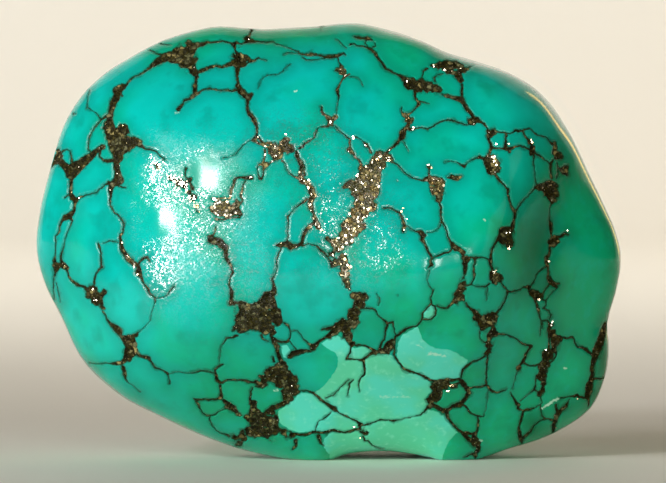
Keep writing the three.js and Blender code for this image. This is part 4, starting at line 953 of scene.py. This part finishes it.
class Stone:
    """The stone's form and its web, with what every piece on it needs."""

    def __init__(self, size):
        noise.seed_set(NOISE_SEED)
        self.size = size
        self.front = FrontWeb()
        self.back = BackWeb(size)
        self.shift = middle_shift(size)

    @staticmethod
    def web_pixels(places):
        """Where places lie in the photograph, strayed a little so that the web's edges are ragged."""
        return photo_pixels(stray(places, WEB_STRAY))

    def matrix_distance(self, places):
        """Signed distance to the edge of the matrix, mm, and how far the front web rules there."""
        towards = smoothstep(*FRONT_FACING, -facing(places, self.size)[:, 1])
        front = self.front.at(self.front.edge, *self.web_pixels(places)) * MM_PER_PX
        back = self.back.distance(stray(places, BACK_STRAY))
        return np.minimum(front + HANDOVER * (1 - towards), back + HANDOVER * towards), towards

    def chalk_distance(self, places):
        """Signed distance to the edge of the chalky places, mm, up to 1 mm."""
        px, py = photo_pixels(stray(places, CHALK_STRAY))
        left, right, top = CHALK_PX
        distance = np.full(len(places), 1.0)
        near = np.flatnonzero((places[:, 1] < 0) & (px > left) & (px < right) & (py > top))
        for polygon in CHALK:
            distance[near] = np.minimum(distance[near], outside(px[near], py[near], polygon) * MM_PER_PX)
        return distance

    def keep(self, places, normals, distance, smooth):
        """Keeps the finished surface for what lies in it, and where the camera sees its front."""
        self.places, self.normals, self.distance = places, normals, distance
        self.px, self.py = photo_pixels(smooth)
        self.shown = KDTree(len(places))
        for i in np.flatnonzero(smooth[:, 1] < 0):
            self.shown.insert((self.px[i], self.py[i], 0), i)
        self.shown.balance()

    def shown_at(self, x, y):
        """The number of the place that the camera sees nearest to a pixel."""
        return self.shown.find((x, y, 0))[1]

    @staticmethod
    def spread(places, spots):
        """How much a list of soft spots adds up to on the front."""
        total = sum(spot[3] * within(places[:, 0], places[:, 2], spot) for spot in spots)
        return np.clip(total, 0, 1) * smoothstep(*SPOT_FADE, places[:, 1])


def ball_directions(bm):
    """The mesh's corners as directions from the middle of the ball that it starts as."""
    directions = np.array([v.co for v in bm.verts])
    return directions / np.linalg.norm(directions, axis=1)[:, None]


def split_towards_web(bm, stone):
    """Halves the edges near the web until the mesh there is fine enough to draw it."""
    size = stone.size
    for _ in range(size.passes):
        places = stone_surface(ball_directions(bm), size)
        ends = np.array([[v.index for v in edge.verts] for edge in bm.edges])
        start, end = places[ends[:, 0]], places[ends[:, 1]]
        length = np.linalg.norm(end - start, axis=1)
        worth = np.flatnonzero(length > size.finest)
        half = length[worth] * 0.5
        middle = (start[worth] + end[worth]) / 2
        distance, towards = stone.matrix_distance(middle)
        fine = size.finest + (1 - towards) * (size.back_finest - size.finest)
        inside = np.where(distance < 0, fine * LONGER_INSIDE, size.coarsest)
        wanted = np.where(np.abs(distance) - half < EDGE_MARGIN, fine, inside)
        chalky = np.abs(stone.chalk_distance(middle)) < half
        wanted = np.where(chalky, np.minimum(wanted, size.chalk_edge), wanted)
        cut = worth[length[worth] > wanted]
        if not len(cut):
            break
        bm.edges.ensure_lookup_table()
        bmesh.ops.subdivide_edges(bm, edges=[bm.edges[i] for i in cut], cuts=1)
        bmesh.ops.triangulate(bm, faces=[face for face in bm.faces if len(face.verts) > 3])
        for vert in bm.verts:
            vert.co.normalize()
        bm.verts.index_update()
        bm.edges.index_update()


def draw_onto_seams(bm, stone):
    """Moves an end of each edge that crosses a thin seam onto its middle, so that the seam stays unbroken."""
    size, front = stone.size, stone.front
    directions = ball_directions(bm)
    ends = np.array([[v.index for v in edge.verts] for edge in bm.edges])
    start, end = ends[:, 0], ends[:, 1]
    for _ in range(SNAP_PASSES):
        places = stone_surface(directions, size)
        px, py = stone.web_pixels(places)
        offset = front.at(front.to_seam, px, py) * MM_PER_PX
        distance = np.hypot(offset[:, 0], offset[:, 1])
        thin = front.at(front.width, px, py) < THIN_SEAM
        usable = (-facing(places, size)[:, 1] > SNAP_FACING) & thin
        length = np.linalg.norm(places[start] - places[end], axis=1)
        along = np.column_stack((px[end] - px[start], py[end] - py[start]))
        across = (np.sum(offset[start] * along, axis=1) > 0) & (np.sum(offset[end] * along, axis=1) < 0)
        crossing = across & usable[start] & usable[end] & (length < size.finest * SNAP_EDGES)
        crossing &= np.minimum(distance[start], distance[end]) < length * SNAP_SHARE
        nearer = np.where(distance[start] < distance[end], start, end)
        close = np.unique(nearer[crossing])
        ring = np.hypot(directions[close, 0], directions[close, 2])
        reach = np.hypot(places[close, 0], places[close, 2]) / ring
        directions[close, 0] += offset[close, 0] / reach
        directions[close, 2] -= offset[close, 1] / reach
        ring = np.hypot(directions[close, 0], directions[close, 2])
        directions[close, 1] = -np.sqrt(np.maximum(0.0, 1 - ring**2))
    return directions


def write_places(bm, places):
    """Moves the mesh's corners to the places."""
    for vert, place in zip(bm.verts, places):
        vert.co = place


def matrix_depth(distance, size):
    """How far the surface lies below the polish, by the distance from the edge of the matrix."""
    inside = np.maximum(0.0, -distance)
    return size.pit_depth * (1 - np.exp(-(inside / PIT_SLOPE) ** 1.5))


def finish_piece(bm, name, material, attributes=None, smooth=True):
    """Writes a bmesh in mm as a finished object in metres that rides on the stone's body."""
    mesh = bpy.data.meshes.new(name)
    bmesh.ops.scale(bm, verts=bm.verts, vec=(MM, MM, MM))
    bm.to_mesh(mesh)
    bm.free()
    for attribute, values in (attributes or {}).items():
        layer = mesh.attributes.new(attribute, "FLOAT", "POINT")
        layer.data.foreach_set("value", np.asarray(values, dtype=np.float32))
    if smooth:
        mesh.shade_smooth()
    mesh.materials.append(material)
    piece = bpy.data.objects.new(name, mesh)
    bpy.context.scene.collection.objects.link(piece)
    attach(piece, "root")
    return piece


def add(tree, kind, inputs=(), output=0, **settings):
    """Adds a shader node with its settings, and its inputs as values or links, and gives an output."""
    node = tree.nodes.new("ShaderNode" + kind)
    for name, value in settings.items():
        setattr(node, name, value)
    pairs = inputs.items() if isinstance(inputs, dict) else enumerate(inputs)
    for socket, value in pairs:
        if isinstance(value, bpy.types.NodeSocket):
            tree.links.new(value, node.inputs[socket])
        else:
            node.inputs[socket].default_value = value
    return node.outputs[output] if len(node.outputs) else None


def new_material(name):
    """A material without nodes, and what adds nodes to it."""
    material = bpy.data.materials.new(name)
    material.use_nodes = True
    material.node_tree.nodes.clear()
    return material, partial(add, material.node_tree)


def per_metre(millimetres):
    """A texture's scale for a pattern of this real size."""
    return 1000 / millimetres


def layered(node, colour, *layers):
    """Lays colours over a first one, each as much as the value before it says."""
    for share, over in layers:
        colour = node("Mix", {0: share, 6: colour, 7: over}, 2, data_type="RGBA")
    return colour


def summed(node, total, *parts):
    """Adds parts to a value, each times the weight after it."""
    for part, weight in parts:
        total = node("Math", (part, weight, total), operation="MULTIPLY_ADD")
    return total


def streak(node, place, start, end, width, strength):
    """How much a straight streak on the front, from start to end, shows at a place."""
    start, end = (Vector(at) * FLATTENED * MM for at in (start, end))
    along = end - start
    place = node("VectorMath", (place, FLATTENED), operation="MULTIPLY")
    ahead = node("VectorMath", (place, start), operation="SUBTRACT")
    per_length = along / max(along.length_squared, 1e-12)
    share = node("VectorMath", (ahead, per_length), "Value", operation="DOT_PRODUCT")
    share = node("Clamp", (share,))
    nearest = node("VectorMath", {0: along, "Scale": share}, operation="SCALE")
    away = node("VectorMath", (ahead, nearest), "Value", operation="DISTANCE")
    levels = (0.6 * width * MM, 0.3 * width * MM, 0, strength)
    return node("MapRange", (away, *levels), interpolation_type="SMOOTHSTEP")


def polished_turquoise(colours, streaks):
    """Turquoise, tumbled and polished, in limonite matrix: waxy blue-green nodules with a soft gloss,
    greener and darker at the web, which is dull, dark and granular, and with painted shade, greener and
    darker, where the stone turns from the light."""
    material, node = new_material("polished turquoise in limonite")
    softly = {"interpolation_type": "SMOOTHSTEP"}
    place = node("TexCoord", output="Object")
    carried = (node("Attribute", output="Fac", attribute_name=name) for name in CARRIED)
    distance, chalk_distance, greener, deeper, dimpled, paler = carried
    pattern = {}
    for name, (grain, detail, levels, run) in PATTERNS.items():
        level = node("TexNoise", {"Vector": place, "Scale": per_metre(grain), "Detail": detail})
        pattern[name] = node("MapRange", (level, *levels), interpolation_type=run)
    ragged = summed(node, distance, (pattern["edge"], 1))
    matrix = node("MapRange", (ragged, 0.008, -0.034), **softly)

    # Nodules: blue to green over some millimetres and mottled, darker towards the web, with darker
    # see-through nodules, and with painted shade, greener and darker, where the stone turns from the light
    darker_near_web = node("MapRange", (distance, 0.65, 0.0, 0, 0.35), **softly)
    shaded = node("Math", (pattern["mottling"], darker_near_web), operation="MAXIMUM")
    body = layered(node, colours.blue,
                   (summed(node, greener, (pattern["drift"], 1)), colours.green),
                   (pattern["lighter"], colours.light),
                   (shaded, colours.shade),
                   (node("Math", (deeper, 0.7), operation="MULTIPLY"), colours.deep))

    # Chalky places: pale, yellower in parts
    chalk = layered(node, colours.chalk, (pattern["warm chalk"], colours.chalk_warm),
                    (pattern["flecks"], colours.chalk_light))
    body = layered(node, body, (node("MapRange", (chalk_distance, 0.02, -0.02), **softly), chalk))

    # Greener and browner round the matrix, in some places farther out than in others
    reach = summed(node, distance, (pattern["staining"], -1))
    body = layered(node, body, (node("MapRange", (reach, 0.06, -0.03, 0, 0.5), **softly), colours.stain))

    # Matrix: olive-brown limonite with paler and ochre grains in dark gaps, greener where a seam is thin
    wander = node("TexNoise", {"Vector": place, "Scale": per_metre(MATRIX_WANDER[0])}, "Color")
    wander = node("VectorMath", {0: wander, "Scale": MATRIX_WANDER[1] * MM}, operation="SCALE")
    wander = node("VectorMath", (place, wander), operation="ADD")
    cells = {"Vector": wander, "Scale": per_metre(MATRIX_GRAIN)}
    grains = node("TexVoronoi", cells, "Color")
    gaps = node("TexVoronoi", cells, "Distance", feature="DISTANCE_TO_EDGE")
    paler = node("Math", (paler, 0.35), operation="MULTIPLY")
    light, ochre = (summed(node, paler, (node("SeparateColor", (grains,), i), 1)) for i in (0, 1))
    dark = layered(node, colours.matrix_dark,
                   (pattern["brown"], colours.matrix_brown),
                   (paler, colours.matrix_light),
                   (node("MapRange", (light, 0.70, 0.98, 0, 0.8), **softly), colours.matrix_light),
                   (node("MapRange", (ochre, 0.84, 1.0), **softly), colours.matrix_ochre),
                   (node("MapRange", (gaps, 0.16, 0.02, 0, 0.8), **softly), colours.matrix_dark))
    dark = layered(node, colours.stain, (node("MapRange", (ragged, -0.010, -0.045), **softly), dark))
    colour = layered(node, body, (matrix, dark))
    # Pale mineral streaks and specks, one of them a painted highlight
    for one in streaks:
        shown = node("Math", (streak(node, wander, *one), pattern["broken"]), operation="MULTIPLY")
        colour = layered(node, colour, (shown, colours.quartz_and_highlight))

    # Polish: glossy, duller at the web, with dimples that break reflections into sparkle
    dimples = node("TexVoronoi", {"Vector": place, "Scale": per_metre(DIMPLE)}, "Color")
    dimpled = node("Math", (dimpled, pattern["sparkle"]), operation="MULTIPLY")
    glint = node("MapRange", (node("SeparateColor", (dimples,)), 0.45, 0.85, 0, 3.2), **softly)
    shine = node("Math", (dimpled, glint, 0.3), operation="MULTIPLY_ADD")
    shine = summed(node, shine, (matrix, -0.12), (dimpled, -0.22), (deeper, -0.15))
    shine = node("Math", (shine, 0.0), operation="MAXIMUM")
    at_web = node("MapRange", (distance, 0.16, 0.02, 0, 0.16), **softly)
    roughness = summed(node, pattern["gloss"], (dimpled, 0.12), (at_web, 1), (matrix, 0.30))

    # Surface: granular in the matrix, sunk a little at its edge, and each dimple tilted its own way
    granules = summed(node, pattern["granules"], (node("MapRange", (gaps, 0.0, 0.25), **softly), 1))
    relief = node("MapRange", (ragged, -0.02, 0.10, 0, 0.3), **softly)
    height = node("Math", (granules, matrix, relief), operation="MULTIPLY_ADD")
    bump = node("Bump", {"Height": height, "Distance": BUMP * MM})
    tilt = node("VectorMath", (dimples, (0.5, 0.5, 0.5)), operation="SUBTRACT")
    lean = node("Math", (dimpled, 0.32), operation="MULTIPLY")
    tilt = node("VectorMath", {0: tilt, "Scale": lean}, operation="SCALE")
    normal = node("VectorMath", (bump, tilt), operation="ADD")
    normal = node("VectorMath", (normal,), operation="NORMALIZE")
    shader = node("BsdfPrincipled", {"Base Color": colour, "Roughness": roughness, "IOR": 1.55,
                                     "Specular IOR Level": shine, "Normal": normal})
    node("OutputMaterial", {"Surface": shader})
    return material


def natural_pyrite(colours):
    """Pyrite with natural crystal faces: pale brass-yellow metal that flashes where a face catches light."""
    material, node = new_material("natural pyrite crystal")
    place = node("TexCoord", output="Object")
    tarnish = node("TexNoise", {"Vector": place, "Scale": per_metre(0.4)})
    share = node("MapRange", (tarnish, 0.4, 0.65), interpolation_type="SMOOTHSTEP")
    colour = layered(node, colours.pyrite, (share, colours.pyrite_tarnish))
    rough = node("MapRange", (tarnish, 0, 1, 0.16, 0.34))
    shader = node("BsdfPrincipled", {"Base Color": colour, "Roughness": rough, "Metallic": 1.0})
    node("OutputMaterial", {"Surface": shader})
    return material


def painted_board(colour):
    """Matt painted board: even and pale, with hardly any gloss."""
    material, node = new_material("matt painted board")
    shader = node("BsdfPrincipled", {"Base Color": colour, "Roughness": 0.7})
    node("OutputMaterial", {"Surface": shader})
    return material


def length_property(name, description, millimetres):
    """A length that a user can set."""
    return FloatProperty(name=name, description=description, default=millimetres * MM, min=0.0, precision=5,
                         unit="LENGTH")


def colour_property(name, description, hex_colour):
    """A colour that a user can set."""
    return FloatVectorProperty(name=name, description=description, default=linear(hex_colour), size=4,
                               min=0.0, max=1.0, subtype="COLOR")


class StoneSize(bpy.types.PropertyGroup):
    """Sizes of the stone and of its web."""

    front_depth: length_property("Front depth", "From the middle to the front", 8.9)
    back_depth: length_property("Back depth", "From the middle to the back", 8.9)
    wear_softness: length_property("Wear softness", "How softly the worn flats meet", 1.0)
    roundness: FloatProperty(name="Roundness", description="Section exponent: 2 is an ellipse", default=2.6)
    pit_depth: length_property("Pit depth", "How deep a wide patch of matrix lies", 0.22)
    finest: length_property("Finest edge", "Longest mesh edge at the front web", 0.079)
    back_finest: length_property("Back edge", "Longest mesh edge at the back web", 0.24)
    coarsest: length_property("Coarsest edge", "Longest mesh edge on a nodule", 0.7)
    chalk_edge: length_property("Chalk edge", "Longest mesh edge at a chalky place's rim", 0.15)
    passes: IntProperty(name="Passes", description="How often edges may be halved", default=4)
    grains: IntProperty(name="Pyrite grains", description="How many grains the matrix may hold", default=1500)


class StoneColours(bpy.types.PropertyGroup):
    """Colours of the stone and of the floor."""

    blue: colour_property("Blue", "Bluer turquoise", "#00C6BA")
    # Also laid on as painted shade where the stone turns from the light
    green: colour_property("Green", "Greener turquoise", "#00BA84")
    light: colour_property("Light", "Lighter mottling", "#10D2C4")
    # Also painted shade in the hollow on the right, along the right end, at the top and at the lower left
    deep: colour_property("Deep", "Where the turquoise lets light in", "#104A0A")
    shade: colour_property("Shade", "Darker mottling and nodule rims", "#006C4E")
    chalk: colour_property("Chalk", "Chalky places", "#5CE4CC")
    chalk_warm: colour_property("Warm chalk", "Yellower chalky places", "#60DAAC")
    chalk_light: colour_property("Light chalk", "Lightest flecks in the chalk", "#A4FFEA")
    stain: colour_property("Stain", "Stained edges of the nodules", "#0A4A24")
    matrix_dark: colour_property("Dark matrix", "Limonite, darkest", "#211F03")
    matrix_brown: colour_property("Brown matrix", "Limonite, brown", "#423C0A")
    matrix_ochre: colour_property("Ochre", "Ochre grains", "#A89A60")
    matrix_light: colour_property("Light matrix", "Paler grains", "#84845A")
    # Also the colour of a painted highlight speck
    quartz_and_highlight: colour_property("Quartz", "Pale streaks and specks", "#CCF6DC")
    pyrite: colour_property("Pyrite", "Fresh pyrite", "#F6EED8")
    pyrite_tarnish: colour_property("Tarnish", "Tarnished pyrite", "#D8C08A")
    floor: colour_property("Floor", "Pale floor", "#F4F1E8")


class TURQUOISE_OT_stage(bpy.types.Operator):
    """Sets up the floor, the lights and the camera"""

    bl_idname = "turquoise.stage"
    bl_label = "Stage and camera"

    def execute(self, context):
        scene = context.scene
        aim_x, aim_z = from_middle(FRAME_PX[0] / 2, FRAME_PX[1] / 2)
        aim = Vector((aim_x, middle_shift(Sizes(scene.turquoise_size)), MIDDLE_Z + aim_z)) * MM
        camera = bpy.data.objects.new("camera", bpy.data.cameras.new("camera"))
        scene.collection.objects.link(camera)
        out = Vector((0, -math.cos(VIEW_ELEVATION), math.sin(VIEW_ELEVATION)))
        camera.location = aim + out * VIEW_DISTANCE * MM
        camera.rotation_euler = (-out).to_track_quat("-Z", "Y").to_euler()
        camera.data.sensor_width = SENSOR
        camera.data.lens = SENSOR * VIEW_DISTANCE / (FRAME_PX[0] * MM_PER_PX)
        camera.data.clip_start = MM
        scene.camera = camera
        scene.view_settings.view_transform = "Standard"

        self.floor(scene)
        for light in LIGHTS:
            self.softbox(scene, aim, *light)
        self.softbox(scene, Vector(BACKDROP_MIDDLE), *BACKDROP_LIGHT)
        scene.world = bpy.data.worlds.new("studio")
        scene.world.use_nodes = True
        background = scene.world.node_tree.nodes["Background"]
        background.inputs["Color"].default_value = linear(WORLD_COLOUR)
        background.inputs["Strength"].default_value = WORLD_STRENGTH
        return {"FINISHED"}

    @staticmethod
    def floor(scene):
        """A floor that sweeps up behind the stone."""
        width, front, back, bend, wall = 1.2, -0.6, 0.35, 0.25, 0.6  # m
        bm = bmesh.new()
        edge = bmesh.ops.create_vert(bm, co=(-width / 2, front, 0))["vert"]
        profile = bmesh.ops.extrude_vert_indiv(bm, verts=edge)
        bmesh.ops.translate(bm, verts=profile["verts"], vec=(0, back - front, 0))
        bmesh.ops.spin(bm, geom=profile["verts"], cent=(0, back, bend), axis=(1, 0, 0), angle=math.pi / 2,
                       steps=24)
        top = max(bm.verts, key=lambda v: v.co.z)
        raised = bmesh.ops.extrude_vert_indiv(bm, verts=[top])
        bmesh.ops.translate(bm, verts=raised["verts"], vec=(0, 0, wall))
        sheet = bmesh.ops.extrude_edge_only(bm, edges=bm.edges[:])
        verts = [element for element in sheet["geom"] if isinstance(element, bmesh.types.BMVert)]
        bmesh.ops.translate(bm, verts=verts, vec=(width, 0, 0))
        bmesh.ops.recalc_face_normals(bm, faces=bm.faces)
        mesh = bpy.data.meshes.new("floor")
        bm.to_mesh(mesh)
        bm.free()
        mesh.shade_smooth()
        mesh.materials.append(painted_board(scene.turquoise_colours.floor))
        floor = bpy.data.objects.new("floor", mesh)
        scene.collection.objects.link(floor)

    @staticmethod
    def softbox(scene, aim, name, turn, lift, distance, size, power, hex_colour):
        """A square light, so many degrees to the right of the camera and so many up."""
        turn, lift = math.radians(turn), math.radians(lift)
        out = Vector((math.cos(lift) * math.sin(turn), -math.cos(lift) * math.cos(turn), math.sin(lift)))
        data = bpy.data.lights.new(name, "AREA")
        data.shape = "RECTANGLE"
        data.size, data.size_y = size
        data.energy = power
        data.color = linear(hex_colour)[:3]
        light = bpy.data.objects.new(name, data)
        light.location = aim + out * distance
        light.rotation_euler = (-out).to_track_quat("-Z", "Y").to_euler()
        scene.collection.objects.link(light)


class TURQUOISE_OT_nugget(bpy.types.Operator):
    """Makes the nugget with its web of matrix"""

    bl_idname = "turquoise.nugget"
    bl_label = "Nugget"

    def execute(self, context):
        size = Sizes(context.scene.turquoise_size)
        stone = Stone(size)
        bm = bmesh.new()
        bmesh.ops.create_icosphere(bm, subdivisions=6, radius=1.0)
        split_towards_web(bm, stone)
        smooth = stone_surface(draw_onto_seams(bm, stone), size)
        distance, _ = stone.matrix_distance(smooth)
        grain, height = SWELL
        smooth = smooth + facing(smooth, size) * (height * roughened(smooth, grain))[:, None]
        smooth[:, 2] = np.maximum(smooth[:, 2], -MIDDLE_Z)
        write_places(bm, smooth)
        bm.normal_update()
        normals = np.array([vert.normal for vert in bm.verts])
        grain, deep, full = GRANULAR
        granular = smoothstep(0.0, full, -distance) * deep * roughened(smooth, grain)
        places = smooth - normals * (matrix_depth(distance, size) + granular)[:, None]
        places += (0, stone.shift, MIDDLE_Z)
        places = np.clip(places, np.array(LOW) / MM, np.array(HIGH) / MM)
        write_places(bm, places)
        stone.keep(places, normals, distance, smooth)
        MADE["stone"] = stone
        tones = {"matrix_mm": distance, "chalk_mm": stone.chalk_distance(smooth)}
        spots = {"greener": GREENER_AND_SHADED, "deeper": DEEPER_AND_SHADED, "dimpled": DIMPLED, "paler": PYRITE_SPREAD}
        for name, where in spots.items():
            tones[name] = stone.spread(smooth, where)
        material = polished_turquoise(context.scene.turquoise_colours, self.streaks(stone))
        nugget = finish_piece(bm, "polished_nugget", material, tones)
        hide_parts(NODE)
        return {"FINISHED"}

    @staticmethod
    def streaks(stone):
        """The streaks as places on the surface and widths, in mm, and how much they show."""
        found = []
        for start, end, width, strength in STREAKS:
            i = stone.shown_at(*start)
            ends = [stone.places[i] + np.array((x - stone.px[i], 0, stone.py[i] - y)) * MM_PER_PX
                    for x, y in (start, end)]
            found.append((*ends, width * MM_PER_PX, strength))
        return found


class TURQUOISE_OT_pyrite(bpy.types.Operator):
    """Makes the pyrite grains that lie in the matrix"""

    bl_idname = "turquoise.pyrite"
    bl_label = "Pyrite"

    def execute(self, context):
        if "stone" not in MADE:
            raise RuntimeError("The nugget is made before its pyrite")
        stone = MADE["stone"]
        chance = random.Random(11)
        bm = bmesh.new()
        flashes = [mirroring(turn, lift) for _, turn, lift, *_ in LIGHTS[:2]]
        for x, y, width in BRIGHT_GRAINS:
            flash = flashes[0 if x < FIRST_FLASH_PX else 1]
            spread = max(0, width - 3) * 0.6
            for _ in range(max(1, round(width * width / FLASH_AREA))):
                i = stone.shown_at(x + chance.uniform(-spread, spread), y + chance.uniform(-spread, spread))
                half = chance.uniform(*FLASH_HALF) * MM_PER_PX
                self.crystal(bm, chance, stone.places[i], flash, FLASH_LEAN, half)

        far_in, lean, halves = THICK_PYRITE
        matrix = np.flatnonzero((stone.distance < -far_in) & (stone.places[:, 1] < stone.shift))
        rich = np.zeros(len(matrix), bool)
        for x, y, radius in PYRITE_RICH:
            rich |= np.hypot(stone.px[matrix] - x, stone.py[matrix] - y) < radius
        self.scatter(bm, chance, stone, matrix[rich], stone.size.grains // 3, lean, halves)
        far_in, lean, halves = FINE_PYRITE
        matrix = np.flatnonzero(stone.distance < -far_in)
        self.scatter(bm, chance, stone, matrix, stone.size.grains // 2, lean, halves)
        finish_piece(bm, "pyrite_grains", natural_pyrite(context.scene.turquoise_colours), smooth=False)
        return {"FINISHED"}

    def scatter(self, bm, chance, stone, among, most, lean, halves):
        """Lays crystals on some of the places, with half-widths in mm between a least and a most."""
        for i in chance.sample(list(among), min(len(among), most)):
            self.crystal(bm, chance, stone.places[i], stone.normals[i], lean, chance.uniform(*halves))

    @staticmethod
    def crystal(bm, chance, place, facing, lean, half):
        """One small crystal cut flat by the polish, half sunk in the matrix and leaning at random."""
        leaning = Vector([chance.uniform(-1, 1) for _ in range(3)]) * lean
        turned = (Vector(facing) + leaning).to_track_quat("Z", "Y").to_matrix().to_4x4()
        turned = turned @ Matrix.Rotation(chance.uniform(0, 6.28), 4, "Z")
        sizes = (chance.uniform(0.7, 1.2), chance.uniform(0.7, 1.2), 0.7)
        squeezed = Matrix.Diagonal([half * size for size in sizes] + [1])
        bmesh.ops.create_cone(bm, cap_ends=True, segments=chance.choice((4, 5, 6, 7)), radius1=1.0,
                              radius2=0.72, depth=1.0,
                              matrix=Matrix.Translation(Vector(place)) @ turned @ squeezed)


def mirroring(turn, lift):
    """The way a face looks that mirrors a light from there into the camera."""
    turn, lift = math.radians(turn), math.radians(lift)
    to_light = Vector((math.sin(turn) * math.cos(lift), -math.cos(turn) * math.cos(lift), math.sin(lift)))
    to_camera = Vector((0, -math.cos(VIEW_ELEVATION), math.sin(VIEW_ELEVATION)))
    return (to_light + to_camera).normalized()


class TURQUOISE_PT_panel(bpy.types.Panel):
    """Lists the steps and the sizes"""

    bl_label = "Turquoise nugget"
    bl_idname = "TURQUOISE_PT_panel"
    bl_space_type = "VIEW_3D"
    bl_region_type = "UI"
    bl_category = "Turquoise"

    def draw(self, context):
        for step in STEPS:
            self.layout.operator(step.bl_idname)
        for group in (context.scene.turquoise_size, context.scene.turquoise_colours):
            for name in group.bl_rna.properties.keys():
                if name not in ("rna_type", "name"):
                    self.layout.prop(group, name)


STEPS = (TURQUOISE_OT_stage, TURQUOISE_OT_nugget, TURQUOISE_OT_pyrite)
CLASSES = (StoneSize, StoneColours, *STEPS, TURQUOISE_PT_panel)


def register():
    for cls in CLASSES:
        bpy.utils.register_class(cls)
    bpy.types.Scene.turquoise_size = PointerProperty(type=StoneSize)
    bpy.types.Scene.turquoise_colours = PointerProperty(type=StoneColours)


def unregister():
    del bpy.types.Scene.turquoise_colours
    del bpy.types.Scene.turquoise_size
    for cls in reversed(CLASSES):
        bpy.utils.unregister_class(cls)


def main():
    register()
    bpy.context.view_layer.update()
    bpy.ops.turquoise.stage()
    bpy.ops.turquoise.nugget()
    bpy.ops.turquoise.pyrite()


if __name__ == "__main__":
    main()
